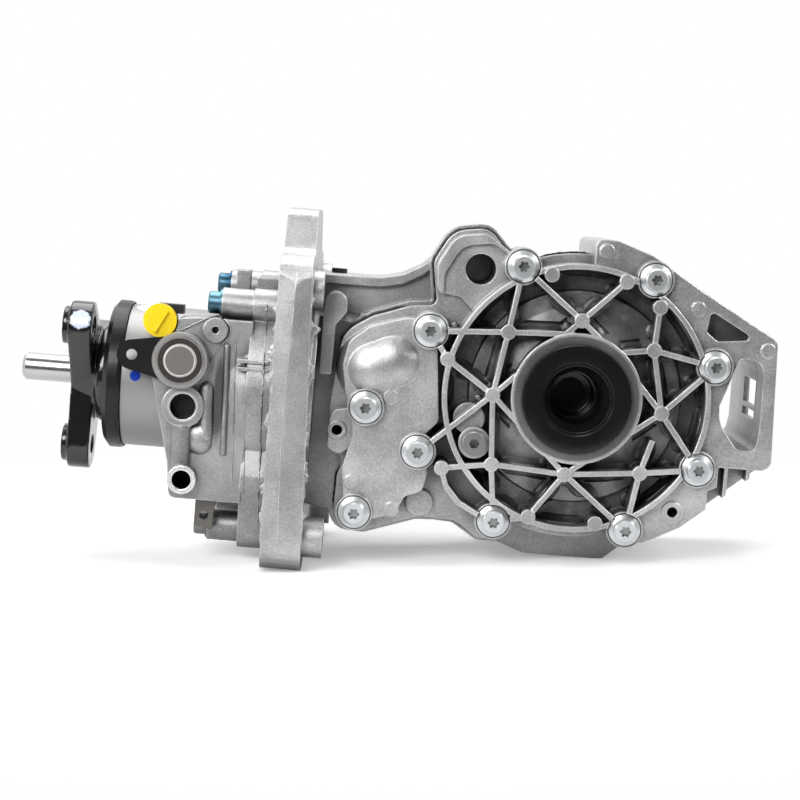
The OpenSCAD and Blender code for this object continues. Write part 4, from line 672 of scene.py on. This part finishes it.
def fillet_run(shape, run):
    """Fillet over one unbroken run of places. It fades at both ends, and too short a run has none."""
    if len(run) < 6:
        return
    section = ((1.2, 8.5), (1.8, 4.8), (2.9, 2.1), (4.4, 0.6), (6.4, -0.4), (1.2, -0.4))
    root, thin, fade_over = 0.4, 0.06, 6
    rows = []
    for i, (x, z, out_x, out_z, floor_y) in enumerate(run):
        fade = min(1, thin + i / fade_over, thin + (len(run) - 1 - i) / fade_over)
        corners = [(x + out_x * offset, floor_y - (rise + root) * fade + root, z + out_z * offset)
            for offset, rise in section]
        rows.append([shape.verts.new([c / 1000 for c in corner]) for corner in corners])
    lofted(shape, rows, 4)


def fillet(shape, path, side):
    """Hollow fillet beside a path of x and z, wherever the floor of the cover is even beside it."""
    even = 4
    run = []
    for i, (x, z) in enumerate(path):
        (x0, z0), (x1, z1) = path[max(i - 1, 0)], path[min(i + 1, len(path) - 1)]
        length = math.hypot(x1 - x0, z1 - z0)
        out_x, out_z = side * (z0 - z1) / length, side * (x1 - x0) / length
        floors = [floor_of_cover(x + out_x * offset, z + out_z * offset) for offset in (1.8, 3.6, 5.4)]
        if None not in floors and max(floors) - min(floors) < even:
            run.append((x, z, out_x, out_z, floors[1]))
        else:
            fillet_run(shape, run)
            run = []
    fillet_run(shape, run)


# The ribs cross at knots, given from the hub: the cover's bolts by letter, and the pads by number.
rim_radius, inside_rim, rib_pace = 80, 74.2, 1.2
rim_angles = [math.radians(angle) for angle in (116.7, 61.1, 17.4, -25.8, -64.8)]
rim_knots = [(rim_radius * math.cos(angle), rim_radius * math.sin(angle)) for angle in rim_angles]
bolt = dict(zip("acefghij", [(-84.7, 31.3), (-86.5, -37.4), (-40.6, -73.4)] + rim_knots))
pad = {
    1: (-41.3, 34.3), 2: (-74, 16.4), 3: (-47.1, -1.6), 5: (-0.8, 44), 6: (22.3, 67.7), 7: (42.2, 55),
    8: (41, 30.7), 9: (48.4, -4.4), 10: (39.3, -39.1), 11: (-2.9, -43.2), 12: (-44.5, -40.9),
    13: (-72.4, -45.2), 14: (-21.3, -69),
}
hub_knot = (19.2, 27.2)
fillets = bmesh.new()
for knots in (
    (bolt["a"], pad[1], (-4, 36)), (bolt["f"], pad[1], pad[3]), (pad[3], pad[12], bolt["e"]),
    (pad[13], pad[12], pad[11]), (pad[11], pad[10], bolt["i"]), ((44.8, -20.1), pad[10], bolt["j"]),
    (pad[7], pad[8], pad[9]), (hub_knot, pad[8], bolt["h"]), (bolt["f"], pad[5], hub_knot, pad[9], bolt["i"]),
    (bolt["a"], pad[2], pad[3], pad[11], bolt["j"]), (bolt["c"], pad[3], pad[5], pad[6], bolt["g"]),
    (bolt["e"], pad[14], pad[11], pad[9], bolt["h"]),
):
    for (x0, z0), (x1, z1) in zip(knots, knots[1:]):
        steps = max(2, round(math.hypot(x1 - x0, z1 - z0) / rib_pace))
        path = [(hub_x + x0 + (x1 - x0) * i / steps, hub_z + z0 + (z1 - z0) * i / steps)
            for i in range(steps + 1)]
        fillet(fillets, path, 1)
        fillet(fillets, path, -1)
fillet(fillets, arc(hub_x, hub_z, inside_rim, 0, 360, 360), 1)
cast_on("rib_fillets", fillets, cover_skin)


# Propshaft flange: a three-armed steel forging, e-coated and glossy black. Its edges are rounded by the
# forging dies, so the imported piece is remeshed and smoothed. A nut holds it on the input shaft.
forged = bpy.data.objects.new("flange_forging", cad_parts["companion_flange"].data.copy())
bpy.context.collection.objects.link(forged)
forged.data.materials.clear()
skin = forged.modifiers.new("skin", "REMESH")
skin.mode = "VOXEL"
skin.voxel_size = 0.0008
worn = forged.modifiers.new("worn", "SMOOTH")
worn.factor = 0.5
worn.iterations = 9
bpy.context.view_layer.update()
smooth_mesh = bpy.data.meshes.new_from_object(forged.evaluated_get(bpy.context.evaluated_depsgraph_get()))
forged.modifiers.clear()
forged.data = smooth_mesh
smooth_mesh.shade_smooth()
smooth_mesh.materials.clear()


def flange_paint(place, colour):
    """White inspection paint on the arm that points up and to the front."""
    dab = 1 - (place.reach(0.0108, -0.0458, 0.0333) + place.grain(400, 2) * 0.003).ease(0.0066, 0.0076)
    return dab.mix(colour, (0.62, 0.68, 0.80))


flange_coat = black("flange_coat", (0.004, 0.004, 0.0045), 0.13, 0.6, 240, 0.5, flange_paint)
smooth_mesh.materials.append(flange_coat)
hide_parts("companion_flange")
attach(forged, "input")


# Yellow cap over the harness connector, moulded in glossy plastic with a grip bar across it. It is
# pushed on to keep the contacts clean until the harness is plugged in.
cap_material, place = surface("yellow_plastic")
flow = place.grain(140, 3)
yellow = flow.mix((0.82, 0.58, 0.0), (0.92, 0.70, 0.01))
relief = place.add("ShaderNodeBump", {}, {"Strength": 0.2, "Distance": 0.0002, "Height": flow})
shown(place.add("ShaderNodeBsdfPrincipled", {}, {
    "Base Color": yellow, "Roughness": 0.3 + flow * 0.1, "Normal": relief}))
dress(cap_material, "connector_cap")
